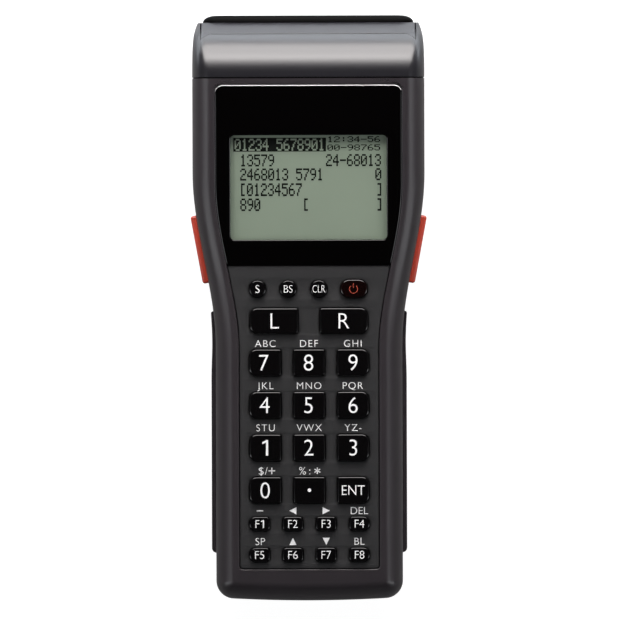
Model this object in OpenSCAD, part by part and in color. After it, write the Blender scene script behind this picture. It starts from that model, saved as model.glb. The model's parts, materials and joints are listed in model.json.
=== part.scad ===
// Hand-held data terminal, lying on its back with the keys up.
// Two shells are parted at split_z. A head cap closes the scanning end, and a
// hinged cover closes the battery bay in the back of the grip.
// Modules are drawn with y running from the foot (0) to the scan bezel, and
// from_foot() moves them so that the frame's origin is under the middle.

/* [Overall size] */
// Length from the foot to the front of the scan bezel
total_l = 170; // [166:1:176]
// Width of the head
head_w = 67.4; // [66:0.2:71]
// Width of the grip at its front shell
grip_w = 54.2; // [53:0.2:56]
// Height of the keypad's rim above the rest plane
grip_h = 31.5; // [31:0.5:34]
// Height of the joint between the two shells
split_z = 15.5; // [15:0.25:16.5]
// Wall of the shells
wall = 1.8; // [1.4:0.1:2.2]
// Radius of the foot's two corners, seen from the front
foot_r = 5.2; // [4:0.2:7]
// How far the foot's end bows out between its corners
foot_bow = 0.6; // [0.3:0.1:1.2]
// Distance from the foot to where the neck starts to widen
neck_foot_y = 74; // [70:1:78]
// Length over which the neck widens to the head
neck_l = 50; // [44:1:56]
// Length of the head cap, from the parting line to its end
cap_l = 16.1; // [14:0.5:18]
// How far the scan bezel stands out of the head cap
bezel_out = 2.1; // [1.5:0.1:3]

/* [Front face] */
// Tilt of the display against the keypad
display_tilt = 6; // [4:0.5:8]
// Width of the opening at the keypad
pad_w = 40.8; // [40:0.2:42]
// Width of the opening at the display
window_w = 54.4; // [53:0.2:56]
// Distance from the foot to the keypad panel
pad_foot_y = 9.1; // [8.4:0.1:10]
// Distance from the foot to where the display starts
fold_y = 97.2; // [96:0.2:98.4]
// Rim of the front shell above the display
window_rim = 2; // [1.6:0.1:3]
// How far the panels lie below the rim
panel_drop = 0.4; // [0.2:0.1:0.8]
// Thickness of the keypad panel and the display window
panel_t = 1.6; // [1.2:0.1:2]
// Ledge that carries the panels
ledge_w = 1.2; // [0.8:0.1:1.6]
// Thickness of that ledge
ledge_t = 1.2; // [0.8:0.1:1.4]
// Width of the rounding along the front shell's edges
shoulder_w = 5.2; // [4.6:0.1:5.6]
// Height of that rounding
shoulder_h = 7.5; // [6:0.5:8]

/* [Back] */
// Rise of the finger groove behind the neck
groove_rise = 6; // [4:0.5:7]
// Distance from the foot to the start of the groove
groove_foot_y = 64; // [62:1:66]
// Length over which the groove rises
groove_l = 31; // [29:1:33]
// Length over which it falls to the head
groove_fall_l = 23; // [20:1:26]
// Width of the rounding along the back's edges
back_round_w = 10; // [7:0.5:11]
// Height of that rounding
back_round_h = 8; // [6:0.5:9]
// Length of the foot's rounding behind
foot_round_l = 8; // [6:0.5:9]
// Height of the foot's rounding behind
foot_round_h = 9; // [7:0.5:10]

/* [Keys] */
// Travel of a key
key_travel = 0.8; // [0.5:0.1:1]
// How far a key stands above the keypad panel
key_out = 1.3; // [0.9:0.1:1.8]
// Gap round a key in the panel
key_gap = 0.2; // [0.1:0.05:0.3]
// Width of a number key
number_w = 9.3; // [8.6:0.1:9.8]
// Height of a number key on the panel
number_h = 7.7; // [7:0.1:8.2]
// Distance between the number keys' columns
number_pitch_x = 12.75; // [12.4:0.05:12.9]
// Distance between the number keys' rows
number_pitch_y = 12.35; // [11.8:0.05:12.4]
// Distance from the foot to the lowest row of number keys
number_foot_y = 32.05; // [31.8:0.05:32.4]
// Width of a function key
function_w = 6; // [5.4:0.1:6.2]
// Height of a function key on the panel
function_h = 4.1; // [3.6:0.1:4.6]
// Distance between the function keys' columns
function_pitch_x = 9.67; // [9.4:0.05:9.7]
// Distance between the function keys' rows
function_pitch_y = 9; // [8.6:0.1:9.2]
// Distance from the foot to the lowest row of function keys
function_foot_y = 13.3; // [13:0.1:13.6]
// Width of a scan key
scan_key_w = 14; // [12:0.2:15]
// Height of a scan key on the panel
scan_key_h = 7.4; // [6.8:0.1:8]
// Distance of a scan key from the middle line
scan_key_x = 10.15; // [9.8:0.05:10.3]
// Distance from the foot to the scan keys
scan_key_y = 81.2; // [80.8:0.1:81.6]
// Diameter of the small round keys
round_key_d = 4.9; // [4.2:0.1:5.4]
// Distance between the small round keys
round_pitch = 8.9; // [8.4:0.1:9.2]
// Distance of the first small round key from the middle line
round_key_x = 14.9; // [14.4:0.1:15.2]
// Distance from the foot to the top row of keys
top_row_y = 90.5; // [90:0.1:91]
// Width of the power key
power_w = 7.9; // [7:0.1:8.4]
// Height of the power key on the panel
power_h = 5.3; // [4.6:0.1:5.6]
// Distance of the power key from the middle line
power_x = 13.1; // [12.8:0.1:13.4]

/* [Display] */
// Width of the liquid crystal panel's glass
lcd_w = 46.8; // [44:0.2:47]
// Length of that glass
lcd_l = 35; // [32:0.5:36]
// Distance from the fold to the glass
lcd_fold_gap = 5.4; // [5:0.1:7]
// Thickness of the light guide and its holder
lcd_frame_t = 3.4; // [2.6:0.1:3.5]

/* [Side triggers] */
// Length of a side trigger
trigger_l = 19.9; // [18:0.1:21]
// Height of a side trigger
trigger_h = 10; // [8:0.5:11]
// Distance from the foot to the middle of the triggers
trigger_y = 102.1; // [100:0.5:104]
// How far a trigger stands out of the shell
trigger_out = 1.6; // [1.4:0.1:2]
// Travel of a trigger
trigger_travel = 0.8; // [0.5:0.1:1]
// Gap round a trigger in the shell
trigger_gap = 0.25; // [0.2:0.05:0.4]

/* [Battery bay] */
// Diameter of a cell
cell_d = 14.4; // [14:0.1:14.6]
// Length of a cell
cell_l = 50.5; // [48:0.5:51]
// Distance between the cells' middles
cell_pitch = 15; // [14.8:0.1:15.4]
// Height of the cells' middles above the rest plane
cell_z = 11.5; // [11.4:0.1:11.8]
// Distance from the foot to the battery tray's inside
bay_foot_y = 16.6; // [16.4:0.1:17]
// Room for the contacts at each end of a cell
contact_room = 2.4; // [2.2:0.1:2.6]
// Wall of the battery tray
tray_wall = 1.2; // [1:0.1:1.4]

/* [Battery cover] */
// Distance from the foot to the cover
cover_foot_y = 13.8; // [13.4:0.1:14.4]
// Distance from the foot to the cover's hinged end
cover_head_y = 84.1; // [83.6:0.1:84.6]
// How far the cover's sides stand out of the grip
cover_side_out = 1.3; // [0.9:0.05:1.7]
// Thickness of the cover behind
cover_t = 1.2; // [1:0.1:1.3]
// Gap between the cover and the shell
cover_gap = 0.2; // [0.15:0.05:0.3]
// Height of the cover's side walls above the rest plane
cover_side_z = 13.6; // [13.5:0.1:14.5]
// How far the shell is drawn in at the cover's sides
side_recess = 0.7; // [0.5:0.05:0.8]
// Distance from the cover's end to its hinge line
hinge_back = 2.2; // [2:0.1:2.4]
// Distance of the hinge line inside the back's surface
hinge_rise = 2.2; // [2.1:0.05:2.4]
// Radius of the hinge pin
pin_r = 0.8; // [0.6:0.05:0.9]
// Running clearance of the cover's knuckles on the pin
pin_clearance = 0.06; // [0.03:0.01:0.09]
// Radius of a knuckle
knuckle_r = 1.8; // [1.6:0.05:1.9]
// Width of a knuckle
knuckle_w = 4.9; // [4:0.1:6]
// Distance of a knuckle from the middle line
knuckle_x = 12; // [10:0.5:13]
// Travel of the cover's lock
lock_travel = 2.4; // [1.6:0.1:2.6]
// Width of the lock's thumb plate
lock_w = 10; // [8:0.5:11]

/* [Screws] */
// Radius of a case screw's shank
screw_r = 1; // [0.8:0.1:1.2]
// Radius of a case screw's head
screw_head_r = 2; // [1.7:0.1:2.2]
// Length of a case screw under its head
screw_l = 15; // [12:0.5:18]
// Depth of a screw well above the rest plane
well_z = 8; // [6:0.5:9]

/* [Hidden] */

// Colours
shell_grey = [0.26, 0.25, 0.27];
panel_grey = [0.25, 0.26, 0.27];
gloss_black = [0.02, 0.02, 0.02];
trigger_orange = [0.78, 0.30, 0.20];

// Counts of the shells' surface points
foot_n = 4;
corner_n = 6;
grip_n = 12;
head_side_n = 9;
head_edge_n = 9;
window_arc_n = 5;
round_n = 6;
$fn = 48;

// Places along the body
cap_y = total_l - bezel_out - cap_l;
cap_end_y = cap_y + cap_l;
window_head_y = cap_y - window_rim;
neck_head_y = neck_foot_y + neck_l;
foot_side_y = foot_bow + foot_r;
eps = 0.01;

// The front face
window_r = 2.3;
pad_r = 1;
min_corner_r = 0.1;
edge_land = 0.5;
edge_chamfer = 0.4;
opening_neck_foot_y = neck_foot_y - 1;
opening_neck_l = neck_l - 2;
fold_soft = 6;
panel_gap = 0.1;
panel_top_z = grip_h - panel_drop;
seat_z = panel_top_z - panel_t;
ledge_z = seat_z - ledge_t;
inner_shoulder_w = shoulder_w - 0.6;
inner_shoulder_h = shoulder_h + 0.5;

// The back
cover_w = grip_w + 2 * cover_side_out;
cover_recess = cover_t + cover_gap;
recess_ramp = 0.7;
recess_head_ramp = 2;
min_foot_w = 0.6;

function smooth(t) = let (c = min(max(t, 0), 1)) c * c * (3 - 2 * c);
function lerp(a, b, t) = a + (b - a) * t;

// Half the width of the shells, and of the opening in the front face
function body_hw(y) =
    lerp(grip_w / 2, head_w / 2, smooth((y - neck_foot_y) / neck_l));
function opening_hw(y) =
    lerp(pad_w / 2, window_w / 2,
         smooth((y - opening_neck_foot_y) / opening_neck_l));

// Height of the rim, with a soft bend, and of the panels, with a sharp one
function soft_bend(d) =
    d < -fold_soft ? 0
    : d > fold_soft ? d
    : (d + fold_soft) * (d + fold_soft) / (4 * fold_soft);
function face_z(y) = grip_h + tan(display_tilt) * soft_bend(y - fold_y);
function tilt_rise(y) = tan(display_tilt) * max(y - fold_y, 0);

// Height of the outermost surface behind, and how much of the cover's recess
// is reached at y
function groove(y) =
    groove_rise * smooth((y - groove_foot_y) / groove_l)
    * (1 - smooth((y - groove_foot_y - groove_l) / groove_fall_l));
function recess_share(y) =
    smooth((y - cover_foot_y + cover_gap + recess_ramp) / recess_ramp)
    * (1 - smooth((y - cover_head_y - cover_gap) / recess_head_ramp));
function foot_rounding(y) =
    y >= foot_round_l ? 0
    : foot_round_h * (1 - sqrt(1 - pow(1 - y / foot_round_l, 2)));
function back_z(y) =
    groove(y) + cover_recess * recess_share(y) + foot_rounding(y);

// Half the width of the body at y, with the foot's bowed end and its corners
function foot_hw(y) =
    y >= foot_side_y ? body_hw(y)
    : y <= foot_bow
        ? max((grip_w / 2 - foot_r) * sqrt(y / foot_bow), min_foot_w)
    : grip_w / 2 - foot_r
        + sqrt(foot_r * foot_r - pow(foot_side_y - y, 2));
function rear_hw(y) = foot_hw(y) - side_recess * recess_share(y);

// ---- surfaces from rows of points ----

// Two triangles for each cell between rows of n points; r and s are rows
function cell(n, r, s, j, k) = [
    [r * n + j, s * n + k, r * n + k],
    [r * n + j, s * n + j, s * n + k]
];
// A ring whose rows are closed loops, and whose last row meets the first
module ring_of_rows(rows) {
    n = len(rows[0]);
    polyhedron(
        points = [for (row = rows) each row],
        faces = [
            for (r = [0:len(rows) - 1], j = [0:n - 1])
                each cell(n, r, (r + 1) % len(rows), j, (j + 1) % n)
        ]
    );
}

// Right half of the shells' outline, drawn in by d, from the foot's middle
// to the middle of the head's edge, which stands e short of the parting line
function case_half(d, e) = let (
    x0 = grip_w / 2 - foot_r,
    r = max(foot_r - d, min_corner_r),
    y1 = foot_side_y,
    y2 = cap_y - e
) concat(
    [for (i = [0:foot_n - 1])
        [x0 * i / foot_n, d + foot_bow * pow(i / foot_n, 2)]],
    [for (i = [0:corner_n]) let (a = 90 * i / corner_n)
        [grip_w / 2 - d - r + r * sin(a), foot_bow + d + r - r * cos(a)]],
    [for (i = [1:grip_n]) let (y = lerp(y1, fold_y, i / grip_n))
        [body_hw(y) - d, y]],
    [for (i = [1:head_side_n]) let (y = lerp(fold_y, y2, i / head_side_n))
        [body_hw(y) - d, y]],
    [for (i = [1:head_edge_n])
        [(body_hw(y2) - d) * (1 - i / head_edge_n), y2]]
);
// The same for the opening in the front face, grown by g
function opening_half(g) = let (
    r = max(pad_r + g, min_corner_r),
    x0 = pad_w / 2 + g - r,
    y1 = pad_foot_y - g + r,
    y2 = window_head_y - window_r,
    x2 = window_w / 2 - window_r,
    edge_n = head_edge_n - window_arc_n
) concat(
    [for (i = [0:foot_n - 1]) [x0 * i / foot_n, pad_foot_y - g]],
    [for (i = [0:corner_n]) let (a = 90 * i / corner_n)
        [x0 + r * sin(a), y1 - r * cos(a)]],
    [for (i = [1:grip_n]) let (y = lerp(y1, fold_y, i / grip_n))
        [opening_hw(y) + g, y]],
    [for (i = [1:head_side_n]) let (y = lerp(fold_y, y2, i / head_side_n))
        [opening_hw(y) + g, y]],
    [for (i = [1:window_arc_n]) let (a = 90 * i / window_arc_n)
        [x2 + (window_r + g) * cos(a), y2 + (window_r + g) * sin(a)]],
    [for (i = [1:edge_n]) [x2 * (1 - i / edge_n), window_head_y + g]]
);
// The whole loop from a right half whose ends lie on the middle line
function both_halves(half) = concat(
    half,
    [for (i = [len(half) - 2:-1:1]) [-half[i][0], half[i][1], half[i][2]]]
);
function at_face(half, drop) =
    both_halves([for (p = half) [p[0], p[1], face_z(p[1]) - drop]]);
function at_panel(half, z) =
    both_halves([for (p = half) [p[0], p[1], z + tilt_rise(p[1])]]);
function at_z(half, z) = both_halves([for (p = half) [p[0], p[1], z]]);

front_rows = concat(
    [at_z(case_half(0, 0), split_z)],
    [for (i = [0:round_n]) let (a = 90 * i / round_n)
        at_face(case_half(shoulder_w * (1 - cos(a)), 0),
                shoulder_h * (1 - sin(a)))],
    [at_face(opening_half(edge_land), 0)],
    [at_face(opening_half(0), edge_chamfer)],
    [at_panel(opening_half(0), seat_z)],
    [at_panel(opening_half(-ledge_w), seat_z)],
    [at_panel(opening_half(-ledge_w), ledge_z)],
    [at_panel(case_half(inner_shoulder_w, wall), ledge_z)],
    [at_face(case_half(wall, wall), inner_shoulder_h)],
    [at_z(case_half(wall, wall), split_z)]
);

// Section of the back at y, drawn in by d: from the right edge of the joint
// round the back to the left one
function back_section(w, z, d, top_z, y) = let (
    rw = min(back_round_w, 0.6 * w),
    rh = min(back_round_h, 0.8 * (split_z - z)),
    half = concat(
        [[w - d, y, top_z]],
        [for (i = [0:round_n]) let (a = 90 * i / round_n)
            [w - rw + (rw - d) * cos(a), y, z + rh - (rh - d) * sin(a)]]
    )
) concat(
    half,
    [[0, y, z + d]],
    [for (i = [len(half) - 1:-1:0]) [-half[i][0], half[i][1], half[i][2]]]
);
// Places along the back at which the rear shell's sections stand
rear_foot_ys = [0.1, 0.3, 0.6, 1.2, 2.2, 3.6, 5.2];
rear_ys = concat(
    rear_foot_ys,
    [foot_side_y],
    [cover_foot_y - cover_gap - recess_ramp, cover_foot_y - cover_gap],
    [for (i = [1:4]) lerp(cover_foot_y, groove_foot_y, i / 4)],
    [for (i = [1:4]) lerp(groove_foot_y, cover_head_y + cover_gap, i / 4)],
    [cover_head_y + cover_gap + recess_head_ramp],
    [for (i = [1:9])
        lerp(cover_head_y + cover_gap + recess_head_ramp, neck_head_y, i / 9)],
    [(neck_head_y + cap_y) / 2, cap_y]
);
// The wall at the foot thins the inside's length, and fades along its rounding
function inner_y(y) =
    y >= foot_round_l ? y : wall + y * (1 - wall / foot_round_l);

module tub(outer, inner) {
    nu = len(outer);
    nv = len(outer[0]);
    points = concat([for (row = outer) each row], [for (row = inner) each row]);
    skin = [
        for (u = [0:nu - 2], v = [0:nv - 2]) each cell(nv, u, u + 1, v, v + 1)
    ];
    shift = nu * nv;
    // index of a point on the outer (0) or inner (1) skin
    function at(side, u, v) = side * shift + u * nv + v;
    lining = [for (t = skin) [t[2] + shift, t[1] + shift, t[0] + shift]];
    rims = [
        for (u = [0:nu - 2], side = [0, nv - 1]) let (
            a = at(0, u, side), b = at(0, u + 1, side),
            c = at(1, u + 1, side), d = at(1, u, side)
        ) each (side == 0 ? [[a, c, b], [a, d, c]] : [[a, b, c], [a, c, d]])
    ];
    head_rim = [
        for (v = [0:nv - 2]) let (
            a = at(0, nu - 1, v), b = at(0, nu - 1, v + 1),
            c = at(1, nu - 1, v + 1), d = at(1, nu - 1, v)
        ) each [[a, c, b], [a, d, c]]
    ];
    // fans close the foot's two end faces, and two triangles join their tops
    foot_face = [for (v = [1:nv - 2]) [at(0, 0, 0), at(0, 0, v), at(0, 0, v + 1)]];
    foot_lining = [for (v = [1:nv - 2]) [at(1, 0, 0), at(1, 0, v + 1), at(1, 0, v)]];
    foot_rim = [
        [at(0, 0, 0), at(0, 0, nv - 1), at(1, 0, nv - 1)],
        [at(0, 0, 0), at(1, 0, nv - 1), at(1, 0, 0)]
    ];
    polyhedron(
        points = points,
        faces = concat(skin, lining, rims, head_rim,
                       foot_face, foot_lining, foot_rim)
    );
}

module from_foot() {
    translate([0, -total_l / 2, 0])
        children();
}

// ---- shared shapes ----

// Corners of a rectangle w by h about the middle, whose left and right
// corners have the radii rl and rr
function rounded_points(w, h, rl, rr) = let (n = 6) concat(
    [for (i = [0:n]) let (a = 90 * i / n)
        [w / 2 - rr + rr * cos(a), h / 2 - rr + rr * sin(a)]],
    [for (i = [0:n]) let (a = 90 + 90 * i / n)
        [-w / 2 + rl + rl * cos(a), h / 2 - rl + rl * sin(a)]],
    [for (i = [0:n]) let (a = 180 + 90 * i / n)
        [-w / 2 + rl + rl * cos(a), -h / 2 + rl + rl * sin(a)]],
    [for (i = [0:n]) let (a = 270 + 90 * i / n)
        [w / 2 - rr + rr * cos(a), -h / 2 + rr + rr * sin(a)]]
);
module rounded(w, h, rl, rr) {
    polygon(rounded_points(w, h, rl, rr));
}
// A slab from z0 to z1 over the flat shape given
module slab(z0, z1) {
    translate([0, 0, z0])
        linear_extrude(z1 - z0)
            children();
}
// A box between two corners
module block(low, high) {
    translate(low)
        cube(high - low);
}
module both_sides() {
    for (side = [0, 1])
        mirror([side, 0, 0])
            children();
}
// The display's own plane: y from the fold, z from the window's outer face
module on_display() {
    translate([0, fold_y, panel_top_z])
        rotate([display_tilt, 0, 0])
            children();
}
// The right trigger's own plane: x out of the shell, y along it
trigger_slope = atan((body_hw(trigger_y + trigger_l / 2)
                      - body_hw(trigger_y - trigger_l / 2)) / trigger_l);
module at_trigger() {
    translate([body_hw(trigger_y), trigger_y, split_z + trigger_up])
        rotate([0, 0, -trigger_slope])
            children();
}
trigger_up = 2.5;
trigger_bow = 0.6;
flange_t = 1;
flange_w = 1;
flange_back = wall + trigger_travel + 0.6;

module trigger_notch() {
    at_trigger()
        translate([-flange_back + flange_t, 0, 0])
            cube([2 * flange_back, trigger_l + 2 * trigger_gap,
                  trigger_h + 2 * trigger_gap], center = true);
}

// ---- screws and their bosses ----
screw_side_gap = 8.7;
screw_head_gap = 8.8;
screw_head_x = head_w / 2 - screw_side_gap;
screw_head_y = cap_y - screw_head_gap;
screw_foot_x = 16.5;
screw_foot_y = 7.4;
screw_places = [
    [screw_head_x, screw_head_y], [-screw_head_x, screw_head_y],
    [screw_foot_x, screw_foot_y], [-screw_foot_x, screw_foot_y]
];
boss_r = screw_r + 1.6;
well_r = screw_head_r + 0.3;
rear_boss_r = well_r + 1;
boss_foot_z = 0.85 * wall;
screw_head_h = 1.5;
boss_bite = 0.5;
screw_fit = 0.05;
screw_hole_gap = 0.25;
screw_top_z = well_z + screw_l;

// ---- shells ----

module front_case() {
    color(shell_grey)
        from_foot()
            difference() {
                union() {
                    ring_of_rows(front_rows);
                    for (p = screw_places)
                        translate([p[0], p[1], split_z])
                            cylinder(h = ledge_z + tilt_rise(p[1]) + boss_bite - split_z,
                                     r = boss_r);
                }
                for (p = screw_places)
                    translate([p[0], p[1], split_z - eps])
                        cylinder(h = screw_top_z + 1 - split_z, r = screw_r + screw_fit);
                both_sides()
                    trigger_notch();
            }
}

// The cover's hinge: its line, and the block that carries the pin
hinge_y = cover_head_y + hinge_back;
hinge_z = groove(hinge_y) + hinge_rise;
hinge_block_x = knuckle_x + knuckle_w / 2 + 4;
hinge_block_t = knuckle_r + 0.8;
knuckle_gap = 0.25;
arm_t = 1.6;
arm_l = hinge_back + 1.6;

module across(r, x) {
    translate([-x, hinge_y, hinge_z])
        rotate([0, 90, 0])
            cylinder(h = 2 * x, r = r);
}
// The lock's slot, from the foot's solid part up to the lock's tail
lock_foot_y = cover_foot_y + 0.4;
lock_l = 9.4;
lock_t = 0.8;
lock_z = cover_t + cover_gap;
lock_flange = 1.2;
lock_gap = 0.2;
lock_lip = 0.8;
tongue_w = lock_w;

bay_hw = (cell_pitch + cell_d) / 2 + 0.35;
bay_head_y = bay_foot_y + cell_l + 2 * contact_room;
bay_floor_z = cover_recess + wall;
bay_top_z = cell_z + cell_d / 2 + 0.4;
tray_fit = 0.05;
ir_w = 12;
ir_h = 4.2;
ir_z = 12.3;
ir_fit = 0.1;
contact_y = 6;
contact_r = 1.4;
contact_pitch = 5;

module rear_case() {
    color(shell_grey)
        from_foot()
            difference() {
                union() {
                    tub(
                        [for (y = rear_ys)
                            back_section(rear_hw(y), back_z(y), 0, split_z, y)],
                        [for (y = rear_ys)
                            back_section(rear_hw(y), back_z(y), wall, split_z,
                                         inner_y(y))]
                    );
                    for (p = screw_places)
                        translate([p[0], p[1], boss_foot_z])
                            cylinder(h = split_z - boss_foot_z, r = rear_boss_r);
                    block([-hinge_block_x, hinge_y - hinge_block_t,
                           groove(hinge_y) + wall / 2],
                          [hinge_block_x, hinge_y + hinge_block_t,
                           hinge_z + hinge_block_t]);
                }
                // the bay's mouth, and above it the tray's place
                block([-bay_hw, bay_foot_y, -eps], [bay_hw, bay_head_y, cell_z]);
                block([-bay_hw - tray_wall - tray_fit,
                       bay_foot_y - tray_wall - tray_fit, bay_floor_z],
                      [bay_hw + tray_wall + tray_fit,
                       bay_head_y + tray_wall + tray_fit, split_z]);
                // the knuckles' pockets and the pin's bore
                both_sides()
                    block([knuckle_x - knuckle_w / 2 - knuckle_gap,
                           hinge_y - arm_l - knuckle_gap, -eps],
                          [knuckle_x + knuckle_w / 2 + knuckle_gap,
                           hinge_y + knuckle_r + knuckle_gap,
                           hinge_z + knuckle_r + knuckle_gap]);
                across(pin_r + pin_fit, hinge_block_x + eps);
                // the lock's slot
                block([-tongue_w / 2 - lock_flange - lock_gap,
                       lock_foot_y - lock_travel - lock_gap, lock_lip],
                      [tongue_w / 2 + lock_flange + lock_gap,
                       bay_foot_y + 2, lock_z + lock_t + lock_gap]);
                for (p = screw_places)
                    translate([p[0], p[1], -eps]) {
                        cylinder(h = well_z + eps, r = well_r);
                        cylinder(h = split_z + 2 * eps, r = screw_r + screw_hole_gap);
                    }
                both_sides()
                    trigger_notch();
                block([-ir_w / 2 - ir_fit, -eps, ir_z - ir_h / 2 - ir_fit],
                      [ir_w / 2 + ir_fit, foot_side_y, ir_z + ir_h / 2 + ir_fit]);
                for (i = [-1:1])
                    translate([i * contact_pitch, contact_y, -eps])
                        cylinder(h = foot_round_h, r = contact_r + ir_fit);
            }
}
pin_fit = 0.02;

// ---- head ----

// The cap's nose is an ellipse behind the parting line; its rows run by the
// share f of the way to the end
nose_start = 0.8;
nose_l = cap_l + 0.1;
nose_h = 24;
nose_end_a = asin((cap_l - nose_start) / nose_l);
cap_draw = 1.6;
cap_under_rise = 3;
cap_under_start = 0.35;
cap_lip_w = 1.7;
cap_rows = 9;
cap_end_round = 3.5;

function nose_y(a, d) = cap_y + nose_start + (nose_l - d) * sin(a);
function nose_z(a, d) = face_z(cap_y) - nose_h + (nose_h - d) * cos(a);
function cap_hw(f) = body_hw(cap_y) - cap_draw * pow(f, 3);
function cap_under(f) =
    cap_under_rise * pow(max(f - cap_under_start, 0) / (1 - cap_under_start), 2);

// A closed loop round the cap: half width w, top at (y1, z1), underside at
// (y2, z2), and corners that shrink towards the end with f
function cap_loop(w, y1, z1, y2, z2, f, d) = let (
    sw = lerp(shoulder_w, cap_end_round, f) - d / 2,
    sh = lerp(shoulder_h, cap_end_round, f) - d / 2,
    uw = lerp(back_round_w, cap_end_round, f) - d / 2,
    uh = lerp(back_round_h, cap_end_round, f) - d / 2,
    flat = concat(
        [for (i = [0:2]) [(w - sw) * i / 3, z1]],
        [for (i = [0:round_n]) let (a = 90 * i / round_n)
            [w - sw + sw * sin(a), z1 - sh + sh * cos(a)]],
        [for (i = [0:round_n]) let (a = 90 * i / round_n)
            [w - uw + uw * cos(a), z2 + uh - uh * sin(a)]],
        [for (i = [2:-1:0]) [(w - uw) * i / 3, z2]]
    )
) both_halves([
    for (p = flat) [p[0], lerp(y2, y1, (p[1] - z2) / (z1 - z2)), p[1]]
]);
function cap_row(f, d) = let (a = nose_end_a * f) cap_loop(
    cap_hw(f) - d, nose_y(a, d), nose_z(a, d),
    lerp(cap_y + nose_start, cap_end_y, f) - d / 2, cap_under(f) + d, f, d
);
cap_start_top = face_z(cap_y);
cap_all_rows = concat(
    [cap_loop(body_hw(cap_y), cap_y, cap_start_top, cap_y, 0, 0, 0)],
    [for (i = [0:cap_rows - 1]) cap_row(i / cap_rows, 0)],
    [cap_loop(cap_hw(1), cap_end_y, nose_z(nose_end_a, 0), cap_end_y,
              cap_under(1), 1, 0)],
    [cap_loop(cap_hw(1) - wall, cap_end_y, nose_z(nose_end_a, 0) - cap_lip_w,
              cap_end_y, cap_under(1) + cap_lip_w, 1, wall)],
    [for (i = [cap_rows - 1:-1:0]) cap_row(i / cap_rows, wall)],
    [cap_loop(body_hw(cap_y) - wall, cap_y, cap_start_top - wall, cap_y, wall,
              0, wall)]
);
// The slits beside the strip along the nose's end follow its curve
slit_x = 31.1;
slit_w = 0.3;
slit_depth = 1.6;
slit_start_a = 39.5;
slit_end_a = 80;
slit_points = concat(
    [for (i = [0:6]) let (a = lerp(slit_start_a, slit_end_a, i / 6))
        [nose_y(a, -slit_depth), nose_z(a, -slit_depth)]],
    [for (i = [6:-1:0]) let (a = lerp(slit_start_a, slit_end_a, i / 6))
        [nose_y(a, slit_depth), nose_z(a, slit_depth)]]
);
module head_cap() {
    color(shell_grey)
        from_foot()
            difference() {
                ring_of_rows(cap_all_rows);
                both_sides()
                    translate([slit_x, 0, 0])
                        rotate([90, 0, 90])
                            linear_extrude(slit_w)
                                polygon(slit_points);
            }
}

// The scan bezel: a plug in the cap's mouth and a flange in front of it
mouth_top_z = nose_z(nose_end_a, 0) - cap_lip_w;
mouth_under_z = cap_under(1) + cap_lip_w;
mouth_hw = cap_hw(1) - wall;
mouth_mid_z = (mouth_top_z + mouth_under_z) / 2;
plug_gap = 0.15;
plug_l = 3;
bezel_hw = cap_hw(1) - 1.5;
bezel_h = mouth_top_z - mouth_under_z + 2 * 1.5;
bezel_r = 4.2;
bezel_edge_r = 1.9;
scan_window_w = 52;
scan_window_h = 10;
scan_window_t = 1.5;
scan_window_set = 0.8;
window_fit = 0.1;

// A flat shape in x and z, made solid from y0 to y1
module upright(y0, y1) {
    translate([0, y1, mouth_mid_z])
        rotate([90, 0, 0])
            linear_extrude(y1 - y0)
                children();
}
module scan_bezel() {
    color(gloss_black)
        from_foot()
            difference() {
                union() {
                    upright(cap_end_y - plug_l, cap_end_y)
                        rounded(2 * (mouth_hw - plug_gap),
                                mouth_top_z - mouth_under_z - 2 * plug_gap,
                                bezel_r, bezel_r);
                    intersection() {
                        upright(cap_end_y, total_l)
                            rounded(2 * bezel_hw, bezel_h, bezel_r, bezel_r);
                        slab(0, grip_h)
                            union() {
                                both_sides()
                                    translate([bezel_hw - bezel_edge_r,
                                               total_l - bezel_edge_r])
                                        circle(r = bezel_edge_r);
                                translate([-bezel_hw, cap_end_y])
                                    square([2 * bezel_hw, bezel_out - bezel_edge_r]);
                                translate([-bezel_hw + bezel_edge_r, cap_end_y])
                                    square([2 * (bezel_hw - bezel_edge_r), bezel_out]);
                            }
                    }
                }
                upright(cap_end_y - plug_l - eps, total_l + eps)
                    square([scan_window_w, scan_window_h], center = true);
            }
}
module scan_window() {
    color([0.25, 0.03, 0.03])
        from_foot()
            upright(total_l - scan_window_set - scan_window_t,
                    total_l - scan_window_set)
                square([scan_window_w - 2 * window_fit,
                        scan_window_h - 2 * window_fit], center = true);
}
// The scan engine stands on a bracket on the cap's underside
engine_w = 22;
engine_h = 12;
engine_foot_y = cap_y + 0.6;
engine_l = 11;
bracket_w = 26;
bracket_l = 5.6;
bracket_top_z = 6;
barrel_r = 3.6;
module scan_engine() {
    color([0.1, 0.1, 0.12])
        from_foot() {
            difference() {
                block([-engine_w / 2, engine_foot_y, bracket_top_z],
                      [engine_w / 2, engine_foot_y + engine_l,
                       bracket_top_z + engine_h]);
                translate([0, engine_foot_y + engine_l + eps,
                           bracket_top_z + engine_h / 2])
                    rotate([90, 0, 0])
                        cylinder(h = engine_l / 3, r = barrel_r);
            }
        }
}
module scan_bracket() {
    color([0.6, 0.6, 0.62])
        from_foot()
            block([-bracket_w / 2, engine_foot_y, wall + window_fit],
                  [bracket_w / 2, engine_foot_y + bracket_l, bracket_top_z]);
}

// ---- front panels ----

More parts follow.
